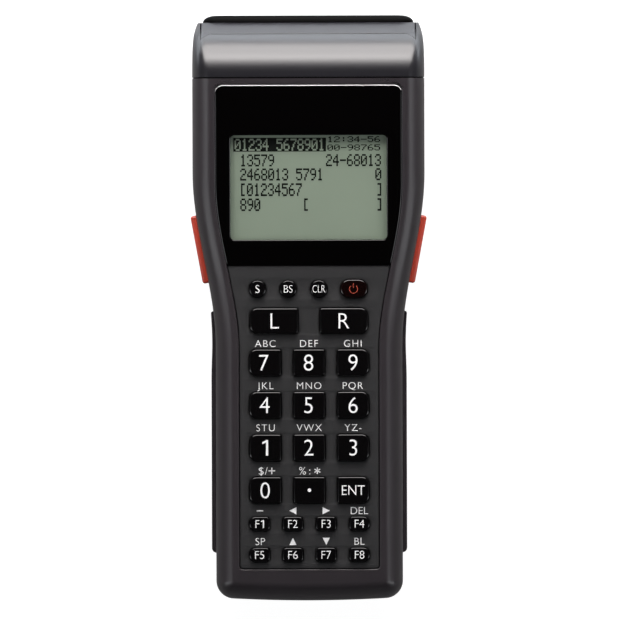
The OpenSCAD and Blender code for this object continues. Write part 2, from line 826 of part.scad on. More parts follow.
// The opening's outline drawn in by d, flat, between two distances from the foot
function opening_outline(d, y1, y2) = let (
    n = 30,
    right = [for (i = [0:n]) let (y = lerp(y1, y2, i / n)) [opening_hw(y) - d, y]]
) concat(right, [for (i = [n:-1:0]) [-right[i][0], right[i][1]]]);
module keypad_outline(d) {
    intersection() {
        polygon(opening_outline(d, pad_foot_y + d, fold_y));
        translate([0, (pad_foot_y + d + fold_y + head_w) / 2])
            rounded(head_w, fold_y + head_w - pad_foot_y - d, pad_r, pad_r);
    }
}
module display_window() {
    color(gloss_black)
        from_foot()
            on_display()
                slab(-window_t, 0)
                    intersection() {
                        translate([0, -fold_y])
                            polygon(opening_outline(panel_gap, fold_y, window_head_y));
                        union() {
                            square([2 * (window_w / 2 - window_r),
                                    4 * (window_plane_l)], center = true);
                            square([window_w, 2 * (window_plane_l - window_r)],
                                   center = true);
                            both_sides()
                                translate([window_w / 2 - window_r - panel_gap,
                                           window_plane_l - window_r])
                                    circle(r = window_r);
                        }
                    }
}
window_plane_l = (window_head_y - fold_y) / cos(display_tilt) - panel_gap;
window_t = panel_t * cos(display_tilt);

lcd_gap = 0.05;
lcd_head_y = lcd_fold_gap + lcd_l;
lcd_frame_side = 2;
module lcd_panel() {
    color([0.55, 0.58, 0.50])
        from_foot()
            on_display()
                block([-lcd_w / 2, lcd_fold_gap, -panel_t - ledge_t],
                      [lcd_w / 2, lcd_head_y, -panel_t - lcd_gap]);
}
module lcd_frame() {
    color([0.75, 0.75, 0.72])
        from_foot()
            on_display()
                block([-lcd_w / 2 - lcd_frame_side, lcd_fold_gap - 1,
                       -panel_t - ledge_t - lcd_gap - lcd_frame_t],
                      [lcd_w / 2 + lcd_frame_side, lcd_head_y + lcd_frame_side,
                       -panel_t - ledge_t - lcd_gap]);
}

// ---- keys ----

// Heights in the stack under the keypad panel
key_top_z = panel_top_z + key_out;
key_cap_t = 0.4;
key_cap_inset = 0.3;
key_flange_t = 0.6;
key_flange_w = 0.5;
key_flange_z = seat_z - 0.15 - key_flange_t;
mat_gap = 0.25;
mat_top_z = key_flange_z - key_travel - mat_gap;
board_top_z = ledge_z - 3.3;
board_t = 1.6;
dome_t = 0.2;
dome_top_z = board_top_z + dome_t;
mat_t = 1.2;
stem_w = 2.4;
stem_gap = 0.4;
stem_clear = 0.1;

number_r = 0.7;
number_side_r = 2.2;
function_r = 1.2;
function_columns = [for (i = [0:3]) (i - 1.5) * function_pitch_x];
function number_x(column) = (column - 1) * number_pitch_x;
function number_y(row) = number_foot_y + row * number_pitch_y;

// Every key: its name, x, y, width, height, left and right corner radius.
// Number rows count from the one above the function keys.
function number_entry(name, column, row) = [
    name, number_x(column), number_y(row), number_w, number_h,
    column == 0 ? number_side_r : number_r, column == 2 ? number_side_r : number_r
];
function function_entry(i) = let (
    column = i % 4,
    full = function_h / 2 - 0.05
) [
    str("f", i + 1), function_columns[column],
    function_foot_y + (i < 4 ? function_pitch_y : 0), function_w, function_h,
    column == 0 ? full : function_r, column == 3 ? full : function_r
];
function round_entry(name, i) = [
    name, -round_key_x + i * round_pitch, top_row_y,
    round_key_d, round_key_d, round_key_d / 2 - 0.02, round_key_d / 2 - 0.02
];
KEYS = concat(
    [number_entry("0", 0, 0), number_entry("point", 1, 0),
     number_entry("enter", 2, 0)],
    [for (i = [0:8]) number_entry(str(i + 1), i % 3, 1 + floor(i / 3))],
    [for (i = [0:7]) function_entry(i)],
    [["scan_left", -scan_key_x, scan_key_y, scan_key_w, scan_key_h,
      number_side_r, number_r],
     ["scan_right", scan_key_x, scan_key_y, scan_key_w, scan_key_h,
      number_r, number_side_r]],
    [round_entry("s", 0), round_entry("bs", 1), round_entry("clr", 2)],
    [["power", power_x, top_row_y, power_w, power_h,
      power_h / 2 - 0.05, power_h / 2 - 0.05]]
);
// A key's outline, grown by g
module key_outline(k, g) {
    translate([k[1], k[2]])
        rounded(k[3] + 2 * g, k[4] + 2 * g, k[5] + g, k[6] + g);
}
module key(name) {
    k = [for (entry = KEYS) if (entry[0] == name) entry][0];
    color(gloss_black)
        from_foot() {
            slab(key_flange_z + key_flange_t, key_top_z - key_cap_t)
                key_outline(k, 0);
            slab(key_top_z - key_cap_t, key_top_z)
                key_outline(k, -key_cap_inset);
            slab(key_flange_z, key_flange_z + key_flange_t)
                key_outline(k, key_flange_w);
            slab(dome_top_z + key_travel + stem_clear, key_flange_z)
                translate([k[1], k[2]])
                    square(stem_w, center = true);
        }
}
module keypad_panel() {
    color(panel_grey)
        from_foot()
            slab(seat_z, panel_top_z)
                difference() {
                    keypad_outline(panel_gap);
                    for (k = KEYS)
                        key_outline(k, key_gap);
                }
}
mat_rim = 0.8;
mat_side_gap = 0.1;
mat_hw = pad_w / 2 - ledge_w - mat_side_gap;
mat_foot_y = pad_foot_y + ledge_w + mat_side_gap;
mat_head_y = fold_y - 1.4;
module keypad_mat() {
    color([0.12, 0.12, 0.13])
        from_foot()
            difference() {
                block([-mat_hw, mat_foot_y, dome_top_z],
                      [mat_hw, mat_head_y, seat_z]);
                // the pocket is open at the foot, where the keys' flanges run out
                block([-mat_hw + mat_rim, mat_foot_y - eps, mat_top_z],
                      [mat_hw - mat_rim, mat_head_y - mat_rim, seat_z + eps]);
                block([-mat_hw + mat_rim, mat_foot_y + mat_rim, dome_top_z - eps],
                      [mat_hw - mat_rim, mat_head_y - mat_rim, mat_top_z - mat_t]);
                for (k = KEYS)
                    translate([k[1], k[2], dome_top_z])
                        linear_extrude(mat_top_z)
                            square(stem_w + 2 * stem_gap, center = true);
            }
}
module dome_sheet() {
    color([0.75, 0.72, 0.55])
        from_foot()
            block([-mat_hw, mat_foot_y, board_top_z], [mat_hw, mat_head_y, dome_top_z]);
}

// ---- boards ----

board_inset = 4.2;
board_foot_y = mat_foot_y;
board_head_y = cap_y - wall - 3;
boss_clear = 0.3;
board_under_z = board_top_z - board_t;
module main_board() {
    n = 30;
    right = [for (i = [0:n]) let (y = lerp(board_foot_y, board_head_y, i / n))
        [body_hw(y) - board_inset, y]];
    color([0.05, 0.30, 0.15])
        from_foot()
            slab(board_under_z, board_top_z)
                difference() {
                    polygon(concat(right, [for (i = [n:-1:0]) [-right[i][0], right[i][1]]]));
                    for (p = screw_places)
                        translate([p[0], p[1]])
                            circle(r = boss_r + boss_clear);
                }
}
// Chips and connectors on the board's back: x, y, width, length, height
head_connector_y = board_head_y - 4;
BOARD_PARTS = [
    [-8, 112, 14, 14, 1.4], [9, 110, 11, 9, 1.2], [-14, 92, 6, 10, 1.0],
    [0, head_connector_y, 24, 4, 2.2], [12, 92, 8, 6, 1.6]
];
module board_parts() {
    color([0.08, 0.08, 0.08])
        from_foot()
            for (c = BOARD_PARTS)
                block([c[0] - c[2] / 2, c[1] - c[3] / 2, board_under_z - c[4]],
                      [c[0] + c[2] / 2, c[1] + c[3] / 2, board_under_z]);
}
module disc(x, y, r, h) {
    translate([x, y, board_under_z - h])
        cylinder(h = h, r = r);
}
// The buzzer and the backup cell stand side by side behind the display
disc_x = 12;
disc_y = 130;
buzzer_r = 4.5;
buzzer_h = 3;
backup_r = 6.2;
backup_h = 2;
module buzzer() {
    color([0.05, 0.05, 0.05])
        from_foot()
            disc(disc_x, disc_y, buzzer_r, buzzer_h);
}
module backup_cell() {
    color([0.8, 0.8, 0.8])
        from_foot()
            disc(-disc_x, disc_y, backup_r, backup_h);
}

// ---- side triggers ----

plunger_l = 1.4;
plunger_w = 3;
switch_w = 3.4;
switch_l = 6;
module trigger() {
    color(trigger_orange)
        from_foot()
            at_trigger() {
                // the bar that shows, with round ends
                translate([0, 0, -trigger_h / 2])
                    linear_extrude(trigger_h)
                        intersection() {
                            translate([-flange_back + flange_t, -trigger_l / 2])
                                square([flange_back - flange_t + trigger_out, trigger_l]);
                            union() {
                                translate([-flange_back, -trigger_l / 2])
                                    square([flange_back + trigger_out - trigger_bow,
                                            trigger_l]);
                                translate([-flange_back, -trigger_l / 2 + trigger_bow])
                                    square([flange_back + trigger_out,
                                            trigger_l - 2 * trigger_bow]);
                                for (end = [-1, 1])
                                    translate([trigger_out - trigger_bow,
                                               end * (trigger_l / 2 - trigger_bow)])
                                        circle(r = trigger_bow);
                            }
                        }
                // the flange that keeps it in, and its plunger
                block([-flange_back, -trigger_l / 2 - flange_w, -trigger_h / 2],
                      [-flange_back + flange_t, trigger_l / 2 + flange_w,
                       trigger_h / 2]);
                block([-flange_back - plunger_l, -plunger_w / 2, -plunger_w / 2],
                      [-flange_back, plunger_w / 2, plunger_w / 2]);
            }
}
module trigger_right() {
    trigger();
}
module trigger_left() {
    mirror([1, 0, 0])
        trigger();
}
switch_gap = 0.3;
switch_x = body_hw(trigger_y) - flange_back - plunger_l - trigger_travel - switch_gap;
module trigger_switches() {
    color([0.15, 0.15, 0.16])
        from_foot()
            both_sides()
                block([switch_x - switch_w, trigger_y - switch_l / 2,
                       split_z + trigger_up - plunger_w / 2],
                      [switch_x, trigger_y + switch_l / 2, board_under_z]);
}

// ---- battery bay ----

module battery_tray() {
    color([0.2, 0.2, 0.21])
        from_foot()
            difference() {
                block([-bay_hw - tray_wall, bay_foot_y - tray_wall, bay_floor_z],
                      [bay_hw + tray_wall, bay_head_y + tray_wall,
                       bay_top_z + tray_wall]);
                block([-bay_hw, bay_foot_y, bay_floor_z - eps],
                      [bay_hw, bay_head_y, bay_top_z]);
            }
}
nub_r = 2.75;
nub_h = 1.2;
// A cell along y whose raised end points to the head (1) or to the foot (-1)
module cell_body(x, end) {
    mid_y = bay_foot_y + contact_room + cell_l / 2;
    color([0.75, 0.62, 0.35])
        from_foot()
            translate([x, mid_y, cell_z])
                rotate([-90 * end, 0, 0]) {
                    translate([0, 0, -cell_l / 2])
                        cylinder(h = cell_l - nub_h, r = cell_d / 2);
                    translate([0, 0, cell_l / 2 - nub_h])
                        cylinder(h = nub_h, r = nub_r);
                }
}
module battery_left() {
    cell_body(-cell_pitch / 2, 1);
}
module battery_right() {
    cell_body(cell_pitch / 2, -1);
}
plate_t = 0.4;
plate_w = 11;
plate_h = 9;
pad_gap = 0.1;
module battery_contacts() {
    color([0.82, 0.78, 0.6])
        from_foot()
            both_sides()
                for (end = [0, 1])
                    translate([cell_pitch / 2,
                               end == 0 ? bay_foot_y : bay_head_y, cell_z])
                        rotate([end == 0 ? -90 : 90, 0, 0]) {
                            translate([-plate_w / 2, -plate_h / 2, 0])
                                cube([plate_w, plate_h, plate_t]);
                            cylinder(h = contact_room - pad_gap, r = nub_r);
                        }
}

// ---- battery cover ----

cover_waist = 0.25;
cover_flare = 0.6;
function cover_hw(y) =
    cover_w / 2 - cover_waist * smooth((y - groove_foot_y) / 12)
    + cover_flare * (body_hw(y) - grip_w / 2);
function cover_inner_hw(y) = body_hw(y) - side_recess + cover_gap;
cover_ys = concat(
    [cover_foot_y, lerp(cover_foot_y, groove_foot_y, 0.5)],
    [for (i = [0:7]) lerp(groove_foot_y, cover_head_y, i / 7)]
);
// One skin of the cover at y: back at z, half width w, edge rounding rw by rh
function cover_skin(y, w, z, rw, rh) = let (
    half = concat(
        [[w, y, cover_side_z]],
        [for (i = [0:round_n]) let (a = 90 * i / round_n)
            [w - rw + rw * cos(a), y, z + rh - rh * sin(a)]]
    )
) concat(
    half,
    [for (i = [len(half) - 1:-1:0]) [-half[i][0], half[i][1], half[i][2]]]
);
// Each row of the cover is a closed loop: its outer skin, then its inner one
function cover_row(y) = let (
    inner = cover_skin(y, cover_inner_hw(y), groove(y) + cover_t,
                       back_round_w, back_round_h)
) concat(
    cover_skin(y, cover_hw(y), groove(y), back_round_w + 1, back_round_h),
    [for (i = [len(inner) - 1:-1:0]) inner[i]]
);
// A solid whose rows are closed loops with outer and inner halves, and whose
// two ends are closed between those halves
module folded_loft(rows) {
    n = len(rows[0]);
    m = n / 2;
    last = (len(rows) - 1) * n;
    polyhedron(
        points = [for (row = rows) each row],
        faces = concat(
            [for (r = [0:len(rows) - 2], j = [0:n - 1])
                each cell(n, r, r + 1, j, (j + 1) % n)],
            [for (j = [0:m - 2]) each [
                [j, j + 1, n - 2 - j], [j, n - 2 - j, n - 1 - j]]],
            [for (j = [0:m - 2]) each [
                [last + j, last + n - 2 - j, last + j + 1],
                [last + j, last + n - 1 - j, last + n - 2 - j]]]
        )
    );
}
lock_window_y = cover_foot_y + 2.2;
thumb_l = 4.6;
module battery_cover() {
    color(shell_grey)
        from_foot()
            difference() {
                union() {
                    folded_loft([for (y = cover_ys) cover_row(y)]);
                    both_sides() {
                        block([knuckle_x - knuckle_w / 2, hinge_y - arm_l,
                               hinge_z - arm_t],
                              [knuckle_x + knuckle_w / 2, hinge_y, hinge_z]);
                        block([knuckle_x - knuckle_w / 2, hinge_y - arm_l,
                               groove(cover_head_y) + cover_t / 4],
                              [knuckle_x + knuckle_w / 2, cover_head_y, hinge_z]);
                        translate([knuckle_x - knuckle_w / 2, hinge_y, hinge_z])
                            rotate([0, 90, 0])
                                cylinder(h = knuckle_w, r = knuckle_r);
                    }
                }
                across(pin_r + pin_clearance, hinge_block_x);
                block([-lock_w / 2 - lock_gap, lock_window_y, -eps],
                      [lock_w / 2 + lock_gap,
                       lock_window_y + thumb_l + lock_travel + 2 * lock_gap,
                       cover_t + eps]);
            }
}
module cover_hinge_pin() {
    color([0.7, 0.7, 0.72])
        from_foot()
            across(pin_r, hinge_block_x - 1);
}
// The lock: a thumb plate in the cover's window, and behind it a flange whose
// tongue runs into the foot
thumb_set = 0.1;
module cover_lock() {
    color([0.3, 0.3, 0.31])
        from_foot() {
            block([-lock_w / 2, lock_window_y + lock_travel + lock_gap, thumb_set],
                  [lock_w / 2, lock_window_y + lock_travel + lock_gap + thumb_l,
                   lock_z]);
            block([-tongue_w / 2 - lock_flange, lock_foot_y, lock_z],
                  [tongue_w / 2 + lock_flange, lock_foot_y + lock_l, lock_z + lock_t]);
        }
}

// ---- small parts ----

module case_screws() {
    color([0.55, 0.55, 0.57])
        from_foot()
            for (p = screw_places)
                translate([p[0], p[1], 0])
                    difference() {
                        union() {
                            translate([0, 0, well_z - screw_head_h])
                                cylinder(h = screw_head_h, r = screw_head_r);
                            translate([0, 0, well_z])
                                cylinder(h = screw_l, r = screw_r);
                        }
                        for (turn = [0, 90])
                            rotate([0, 0, turn])
                                translate([0, 0, well_z - screw_head_h])
                                    cube([2 * screw_r, 0.5, screw_head_h], center = true);
                    }
}
module ir_window() {
    color([0.16, 0.02, 0.03])
        from_foot()
            block([-ir_w / 2, 0.4, ir_z - ir_h / 2], [ir_w / 2, wall, ir_z + ir_h / 2]);
}
module charge_contacts() {
    color([0.85, 0.72, 0.35])
        from_foot()
            for (i = [-1:1])
                translate([i * contact_pitch, contact_y, foot_rounding(contact_y) + 0.3])
                    cylinder(h = wall, r = contact_r);
}

module key_0() { key("0"); }
module key_1() { key("1"); }
module key_2() { key("2"); }
module key_3() { key("3"); }
module key_4() { key("4"); }
module key_5() { key("5"); }
module key_6() { key("6"); }
module key_7() { key("7"); }
module key_8() { key("8"); }
module key_9() { key("9"); }
module key_point() { key("point"); }
module key_enter() { key("enter"); }
module key_scan_left() { key("scan_left"); }
module key_scan_right() { key("scan_right"); }
module key_s() { key("s"); }
module key_bs() { key("bs"); }
module key_clr() { key("clr"); }
module key_power() { key("power"); }
module key_f1() { key("f1"); }
module key_f2() { key("f2"); }
module key_f3() { key("f3"); }
module key_f4() { key("f4"); }
module key_f5() { key("f5"); }
module key_f6() { key("f6"); }
module key_f7() { key("f7"); }
module key_f8() { key("f8"); }

front_case();
rear_case();
head_cap();
scan_bezel();
scan_window();
scan_engine();
scan_bracket();
display_window();
lcd_panel();
lcd_frame();
keypad_panel();
keypad_mat();
dome_sheet();
main_board();
board_parts();
buzzer();
backup_cell();
trigger_switches();
trigger_left();
trigger_right();
battery_tray();
battery_left();
battery_right();
battery_contacts();
battery_cover();
cover_hinge_pin();
cover_lock();
case_screws();
ir_window();
charge_contacts();
key_0();
key_1();
key_2();
key_3();
key_4();
key_5();
key_6();
key_7();
key_8();
key_9();
key_point();
key_enter();
key_scan_left();
key_scan_right();
key_s();
key_bs();
key_clr();
key_power();
key_f1();
key_f2();
key_f3();
key_f4();
key_f5();
key_f6();
key_f7();
key_f8();
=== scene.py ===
"""Looks of a hand-held data terminal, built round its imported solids.

Lengths are in millimetres until place() turns them into the frame's metres, and y runs
from the foot (0) to the scan bezel.
"""
import json
from math import asin, atan, cos, pi, radians, sin, sqrt, tan

import bmesh
import bpy
from mathutils import Matrix, Vector

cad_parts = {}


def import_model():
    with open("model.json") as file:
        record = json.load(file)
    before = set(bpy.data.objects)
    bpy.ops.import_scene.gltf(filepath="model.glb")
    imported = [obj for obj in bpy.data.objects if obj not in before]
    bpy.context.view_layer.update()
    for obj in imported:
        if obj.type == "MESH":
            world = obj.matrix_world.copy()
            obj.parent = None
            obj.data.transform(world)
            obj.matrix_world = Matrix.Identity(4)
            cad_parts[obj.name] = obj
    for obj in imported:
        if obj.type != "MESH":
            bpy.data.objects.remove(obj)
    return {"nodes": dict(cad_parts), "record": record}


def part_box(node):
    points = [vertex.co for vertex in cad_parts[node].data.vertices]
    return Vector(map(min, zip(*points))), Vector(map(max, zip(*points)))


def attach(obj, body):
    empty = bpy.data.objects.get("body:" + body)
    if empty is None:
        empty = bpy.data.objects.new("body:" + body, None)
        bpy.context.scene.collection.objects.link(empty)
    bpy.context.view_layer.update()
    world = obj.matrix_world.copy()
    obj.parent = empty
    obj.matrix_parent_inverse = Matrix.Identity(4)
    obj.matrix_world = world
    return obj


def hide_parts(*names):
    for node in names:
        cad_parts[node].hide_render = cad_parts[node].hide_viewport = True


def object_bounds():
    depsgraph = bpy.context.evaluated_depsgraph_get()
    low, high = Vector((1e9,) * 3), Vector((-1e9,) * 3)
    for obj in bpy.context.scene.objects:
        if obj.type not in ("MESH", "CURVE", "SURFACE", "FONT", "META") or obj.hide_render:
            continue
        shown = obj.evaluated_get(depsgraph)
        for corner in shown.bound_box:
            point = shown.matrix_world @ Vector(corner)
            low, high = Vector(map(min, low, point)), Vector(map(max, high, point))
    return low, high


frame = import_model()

MM = 0.001
LOW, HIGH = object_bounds()


# ---- sizes, from the frame where it has them ----

def span(node):
    """A node's lowest and highest corner in millimetres, with y from the foot."""
    shift = Vector((0, LOW.y, 0))
    return tuple((corner - shift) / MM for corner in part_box(node))


CASE_LOW, CASE_HIGH = span("front_case")
COVER_LOW, COVER_HIGH = span("battery_cover")
BEZEL_LOW, BEZEL_HIGH = span("scan_bezel")
TOTAL_L = (HIGH.y - LOW.y) / MM
HEAD_W = CASE_HIGH.x - CASE_LOW.x
CAP_Y = CASE_HIGH.y
SPLIT_Z = CASE_LOW.z
CAP_END_Y = BEZEL_LOW.y + 3.0
PANEL_TOP_Z = span("keypad_panel")[1].z
SEAT_Z = span("keypad_panel")[0].z
# the front's outline and face
GRIP_W, GRIP_H, WALL = 54.2, 31.5, 1.8
FOOT_R, FOOT_BOW = 5.2, 0.6
FOOT_SIDE_Y = FOOT_BOW + FOOT_R
NECK_FOOT_Y, NECK_L = 74.0, 50.0
TILT = radians(6)
FOLD_Y, FOLD_SOFT = 97.2, 6.0
SHOULDER_W, SHOULDER_H = 5.2, 7.5
# the opening for the keypad panel and the display window
PAD_W, PAD_FOOT_Y, PAD_R = 40.8, 9.1, 1.0
WINDOW_W, WINDOW_HEAD_Y, WINDOW_R = 54.4, CAP_Y - 2.0, 2.3
LEDGE = 1.2
LEDGE_Z = SEAT_Z - LEDGE
# the back with its finger groove, and the cover's place in it
GROOVE_RISE, GROOVE_FOOT_Y, GROOVE_L, GROOVE_FALL_L = 6.0, 64.0, 31.0, 23.0
BACK_ROUND_W, BACK_ROUND_H = 10.0, 8.0
FOOT_ROUND_L, FOOT_ROUND_H = 8, 9
COVER_FOOT_Y, COVER_HEAD_Y = COVER_LOW.y, 84.1
COVER_T, COVER_GAP, SIDE_RECESS, COVER_OUT = 1.2, 0.2, 0.7, 1.3
COVER_RECESS = COVER_T + COVER_GAP
RECESS_FOOT_L, RECESS_HEAD_L = 0.7, 2
# half the parting line, half the air between the shells, and their edges' chamfer
SEAM, JOINT_GAP, CHAMFER, CHAMFER_TOP = 0.18, 0.04, 0.15, 0.2


def smooth(t):
    c = min(max(t, 0.0), 1.0)
    return c * c * (3 - 2 * c)


def lerp(a, b, t):
    return a + (b - a) * t


def steps(n, first=0):
    """first/n, ..., 1"""
    return [i / n for i in range(first, n + 1)]


def between(a, b, n, first=0):
    return [lerp(a, b, t) for t in steps(n, first)]


def quarter(n, first=0):
    """Angles of a quarter turn in n steps."""
    return [t * pi / 2 for t in steps(n, first)]


def body_hw(y):
    return lerp(GRIP_W / 2, HEAD_W / 2, smooth((y - NECK_FOOT_Y) / NECK_L))


def opening_hw(y):
    return lerp(PAD_W / 2, WINDOW_W / 2, smooth((y - NECK_FOOT_Y + 1) / (NECK_L - 2)))


def face_z(y):
    """Height of the face, which bends up softly at the fold."""
    d = y - FOLD_Y
    if abs(d) <= FOLD_SOFT:
        d = (d + FOLD_SOFT) ** 2 / (4 * FOLD_SOFT)
    return GRIP_H + tan(TILT) * max(d, 0)


def tilt_rise(y):
    return tan(TILT) * max(y - FOLD_Y, 0)


def groove(y):
    rise = smooth((y - GROOVE_FOOT_Y) / GROOVE_L)
    return GROOVE_RISE * rise * (1 - smooth((y - GROOVE_FOOT_Y - GROOVE_L) / GROOVE_FALL_L))


def recess_share(y):
    """1 where the back is sunk for the battery cover, 0 away from it."""
    start = smooth((y - COVER_FOOT_Y + COVER_GAP + RECESS_FOOT_L) / RECESS_FOOT_L)
    return start * (1 - smooth((y - COVER_HEAD_Y - COVER_GAP) / RECESS_HEAD_L))


def foot_rounding(y):
    if y >= FOOT_ROUND_L:
        return 0
    return FOOT_ROUND_H * (1 - sqrt(1 - (1 - y / FOOT_ROUND_L) ** 2))


def back_z(y):
    return groove(y) + COVER_RECESS * recess_share(y) + foot_rounding(y)


def rear_hw(y):
    flat = GRIP_W / 2 - FOOT_R
    if y >= FOOT_SIDE_Y:
        w = body_hw(y)
    elif y <= FOOT_BOW:
        w = max(flat * sqrt(y / FOOT_BOW), 0.3)
    else:
        w = flat + sqrt(FOOT_R ** 2 - (FOOT_SIDE_Y - y) ** 2)
    return w - SIDE_RECESS * recess_share(y)


# ---- meshes ----

def place(p):
    return Vector((p[0] * MM, p[1] * MM + LOW.y, p[2] * MM))


def moved(obj, x, y, z):
    obj.data.transform(Matrix.Translation(place((x, y, z))))
    return obj


def link(name, data):
    obj = bpy.data.objects.new(name, data)
    bpy.context.scene.collection.objects.link(obj)
    return obj


SMOOTH_ANGLE, BEVEL_ANGLE = radians(38), radians(40)


def mesh_object(name, points, faces):
    mesh = bpy.data.meshes.new(name)
    mesh.from_pydata(points, [], faces)
    return link(name, mesh)


def shade(obj):
    """Smooth faces, with edges that turn by more than the angle left sharp."""
    bm = bmesh.new()
    bm.from_mesh(obj.data)
    bmesh.ops.remove_doubles(bm, verts=bm.verts, dist=1e-7)
    bmesh.ops.recalc_face_normals(bm, faces=bm.faces)
    for face in bm.faces:
        face.smooth = True
    for edge in bm.edges:
        edge.smooth = edge.calc_face_angle(0) < SMOOTH_ANGLE
    bm.to_mesh(obj.data)
    bm.free()
    return obj


def solid(name, points, faces):
    return shade(mesh_object(name, [place(p) for p in points], faces))


def cutter(points, faces):
    return mesh_object("cutter", [place(p) for p in points], faces)


SQUARE = ((-1, -1), (1, -1), (1, 1), (-1, 1))


def joined(rows):
    return [p for row in rows for p in row]


def grid_faces(rows, n, ring=False):
    """Quads between rows of n points; a ring's last row meets its first."""
    faces = []
    for r in range(rows if ring else rows - 1):
        s = (r + 1) % rows
        for j in range(n):
            k = (j + 1) % n
            faces.append((r * n + j, r * n + k, s * n + k, s * n + j))
    return faces


def capped_faces(rows, n):
    """Quads between rows of n points, and a face over each end."""
    return grid_faces(rows, n) + [tuple(range(n)), tuple(range((rows - 1) * n, rows * n))]


def capped_solid(name, rows):
    return solid(name, joined(rows), capped_faces(len(rows), len(rows[0])))


def ring_solid(name, rows):
    return solid(name, joined(rows), grid_faces(len(rows), len(rows[0]), True))


def folded_solid(name, rows, closed_foot=False):
    """Rows are loops of an outer half and an inner half, closed at both ends."""
    n, last = len(rows[0]), (len(rows) - 1) * len(rows[0])
    m = n // 2
    faces = grid_faces(len(rows), n)
    faces += [(last + j, last + j + 1, last + n - 2 - j, last + n - 1 - j) for j in range(m - 1)]
    if closed_foot:
        faces += [tuple(range(m)), tuple(range(m, n)), (0, m - 1, m, n - 1)]
    else:
        faces += [(j, n - 1 - j, n - 2 - j, j + 1) for j in range(m - 1)]
    return solid(name, joined(rows), faces)


def box(low, high):
    corners = [(x, y, z) for x in (low[0], high[0]) for y in (low[1], high[1])
               for z in (low[2], high[2])]
    return cutter(corners, [(0, 1, 3, 2), (4, 6, 7, 5), (0, 4, 5, 1),
                            (2, 3, 7, 6), (0, 2, 6, 4), (1, 5, 7, 3)])


def rod(start, end, r, sides=40):
    """A cylinder between two points."""
    a, b = Vector(start), Vector(end)
    turn = (b - a).to_track_quat("Z", "Y").to_matrix()
    ends = [[c + turn @ Vector((r * cos(t), r * sin(t), 0))
             for t in (2 * pi * i / sides for i in range(sides))] for c in (a, b)]
    caps = [tuple(range(sides - 1, -1, -1)), tuple(range(sides, 2 * sides))]
    return cutter(joined(ends), grid_faces(2, sides) + caps)


def plates(name, loops, z0, z1):
    """Thin plates over flat loops, between two heights."""
    points, faces = [], []
    for loop in loops:
        n, m = len(points), len(loop)
        points += [Vector((x, y, z)) * MM for z in (z0, z1) for x, y in loop]
        faces += [tuple(range(n + m - 1, n - 1, -1)), tuple(range(n + m, n + 2 * m))]
        faces += [(n + i, n + (i + 1) % m, n + m + (i + 1) % m, n + m + i) for i in range(m)]
    return mesh_object(name, points, faces)


def evaluated(obj):
    """A new mesh of what obj's curve or modifiers make."""
    graph = bpy.context.evaluated_depsgraph_get()
    return bpy.data.meshes.new_from_object(obj.evaluated_get(graph), depsgraph=graph)


def mesh_of(name, curve):
    holder = link(name, curve)
    mesh = evaluated(holder)
    bpy.data.objects.remove(holder)
    return mesh


def applied(obj):
    """obj with its modifiers made real."""
    mesh = evaluated(obj)
    obj.modifiers.clear()
    obj.data = mesh
    return obj


def combine(obj, others, operation):
    for other in others:
        shade(other)
        m = obj.modifiers.new(operation, "BOOLEAN")
        m.operation, m.object, m.solver = operation, other, "MANIFOLD"
    applied(obj)
    for other in others:
        bpy.data.objects.remove(other)
    return shade(obj)


def cut(obj, *others):
    return combine(obj, others, "DIFFERENCE")


def add(obj, *others):
    return combine(obj, others, "UNION")


def bevel(obj, width, segments):
    m = obj.modifiers.new("bevel", "BEVEL")
    m.width, m.segments, m.limit_method = width * MM, segments, "ANGLE"
    m.angle_limit = BEVEL_ANGLE
    return shade(applied(obj))


def mirrored(half):
    """The whole loop from a right half whose ends lie on the middle line."""
    return half + [(-p[0],) + tuple(p[1:]) for p in half[-2:0:-1]]


# ---- outlines of the front ----

# steps along each stretch of an outline
FOOT_N, CORNER_N, GRIP_N, HEAD_N, EDGE_N, ARC_N, SHOULDER_N, BACK_N = 8, 12, 44, 28, 26, 12, 14, 14


def case_half(d, e=SEAM):
    """Right half of the case's outline drawn in by d, and by e from the parting line."""
    x0, r = GRIP_W / 2 - FOOT_R, max(FOOT_R - d, 0.1)
    y2 = CAP_Y - e
    half = [(x0 * t, d + FOOT_BOW * t * t) for t in steps(FOOT_N)[:-1]]
    half += [(GRIP_W / 2 - d - r + r * sin(a), FOOT_BOW + d + r - r * cos(a))
             for a in quarter(CORNER_N)]
    ys = between(FOOT_SIDE_Y, FOLD_Y, GRIP_N, 1) + between(FOLD_Y, y2, HEAD_N, 1)
    half += [(body_hw(y) - d, y) for y in ys]
    return half + [((body_hw(y2) - d) * (1 - t), y2) for t in steps(EDGE_N, 1)]


def opening_half(g):
    """Right half of the opening's outline, wider by g."""
    r = max(PAD_R + g, 0.1)
    x0, y1 = PAD_W / 2 + g - r, PAD_FOOT_Y - g + r
    x2, y2 = WINDOW_W / 2 - WINDOW_R, WINDOW_HEAD_Y - WINDOW_R
    half = [(x0 * t, PAD_FOOT_Y - g) for t in steps(FOOT_N)[:-1]]
    half += [(x0 + r * sin(a), y1 - r * cos(a)) for a in quarter(CORNER_N)]
    ys = between(y1, FOLD_Y, GRIP_N, 1) + between(FOLD_Y, y2, HEAD_N, 1)
    half += [(opening_hw(y) + g, y) for y in ys]
    half += [(x2 + (WINDOW_R + g) * cos(a), y2 + (WINDOW_R + g) * sin(a))
             for a in quarter(ARC_N, 1)]
    return half + [(x2 * (1 - t), WINDOW_HEAD_Y + g) for t in steps(EDGE_N - ARC_N, 1)]


def on_face(half, drop):
    return mirrored([(x, y, face_z(y) - drop) for x, y in half])


def on_panel(half, z):
    return mirrored([(x, y, z + tilt_rise(y)) for x, y in half])


def level(half, z):
    return mirrored([(x, y, z) for x, y in half])


TRIGGER_Y, TRIGGER_L, TRIGGER_H = 102.1, 19.9, 10.0
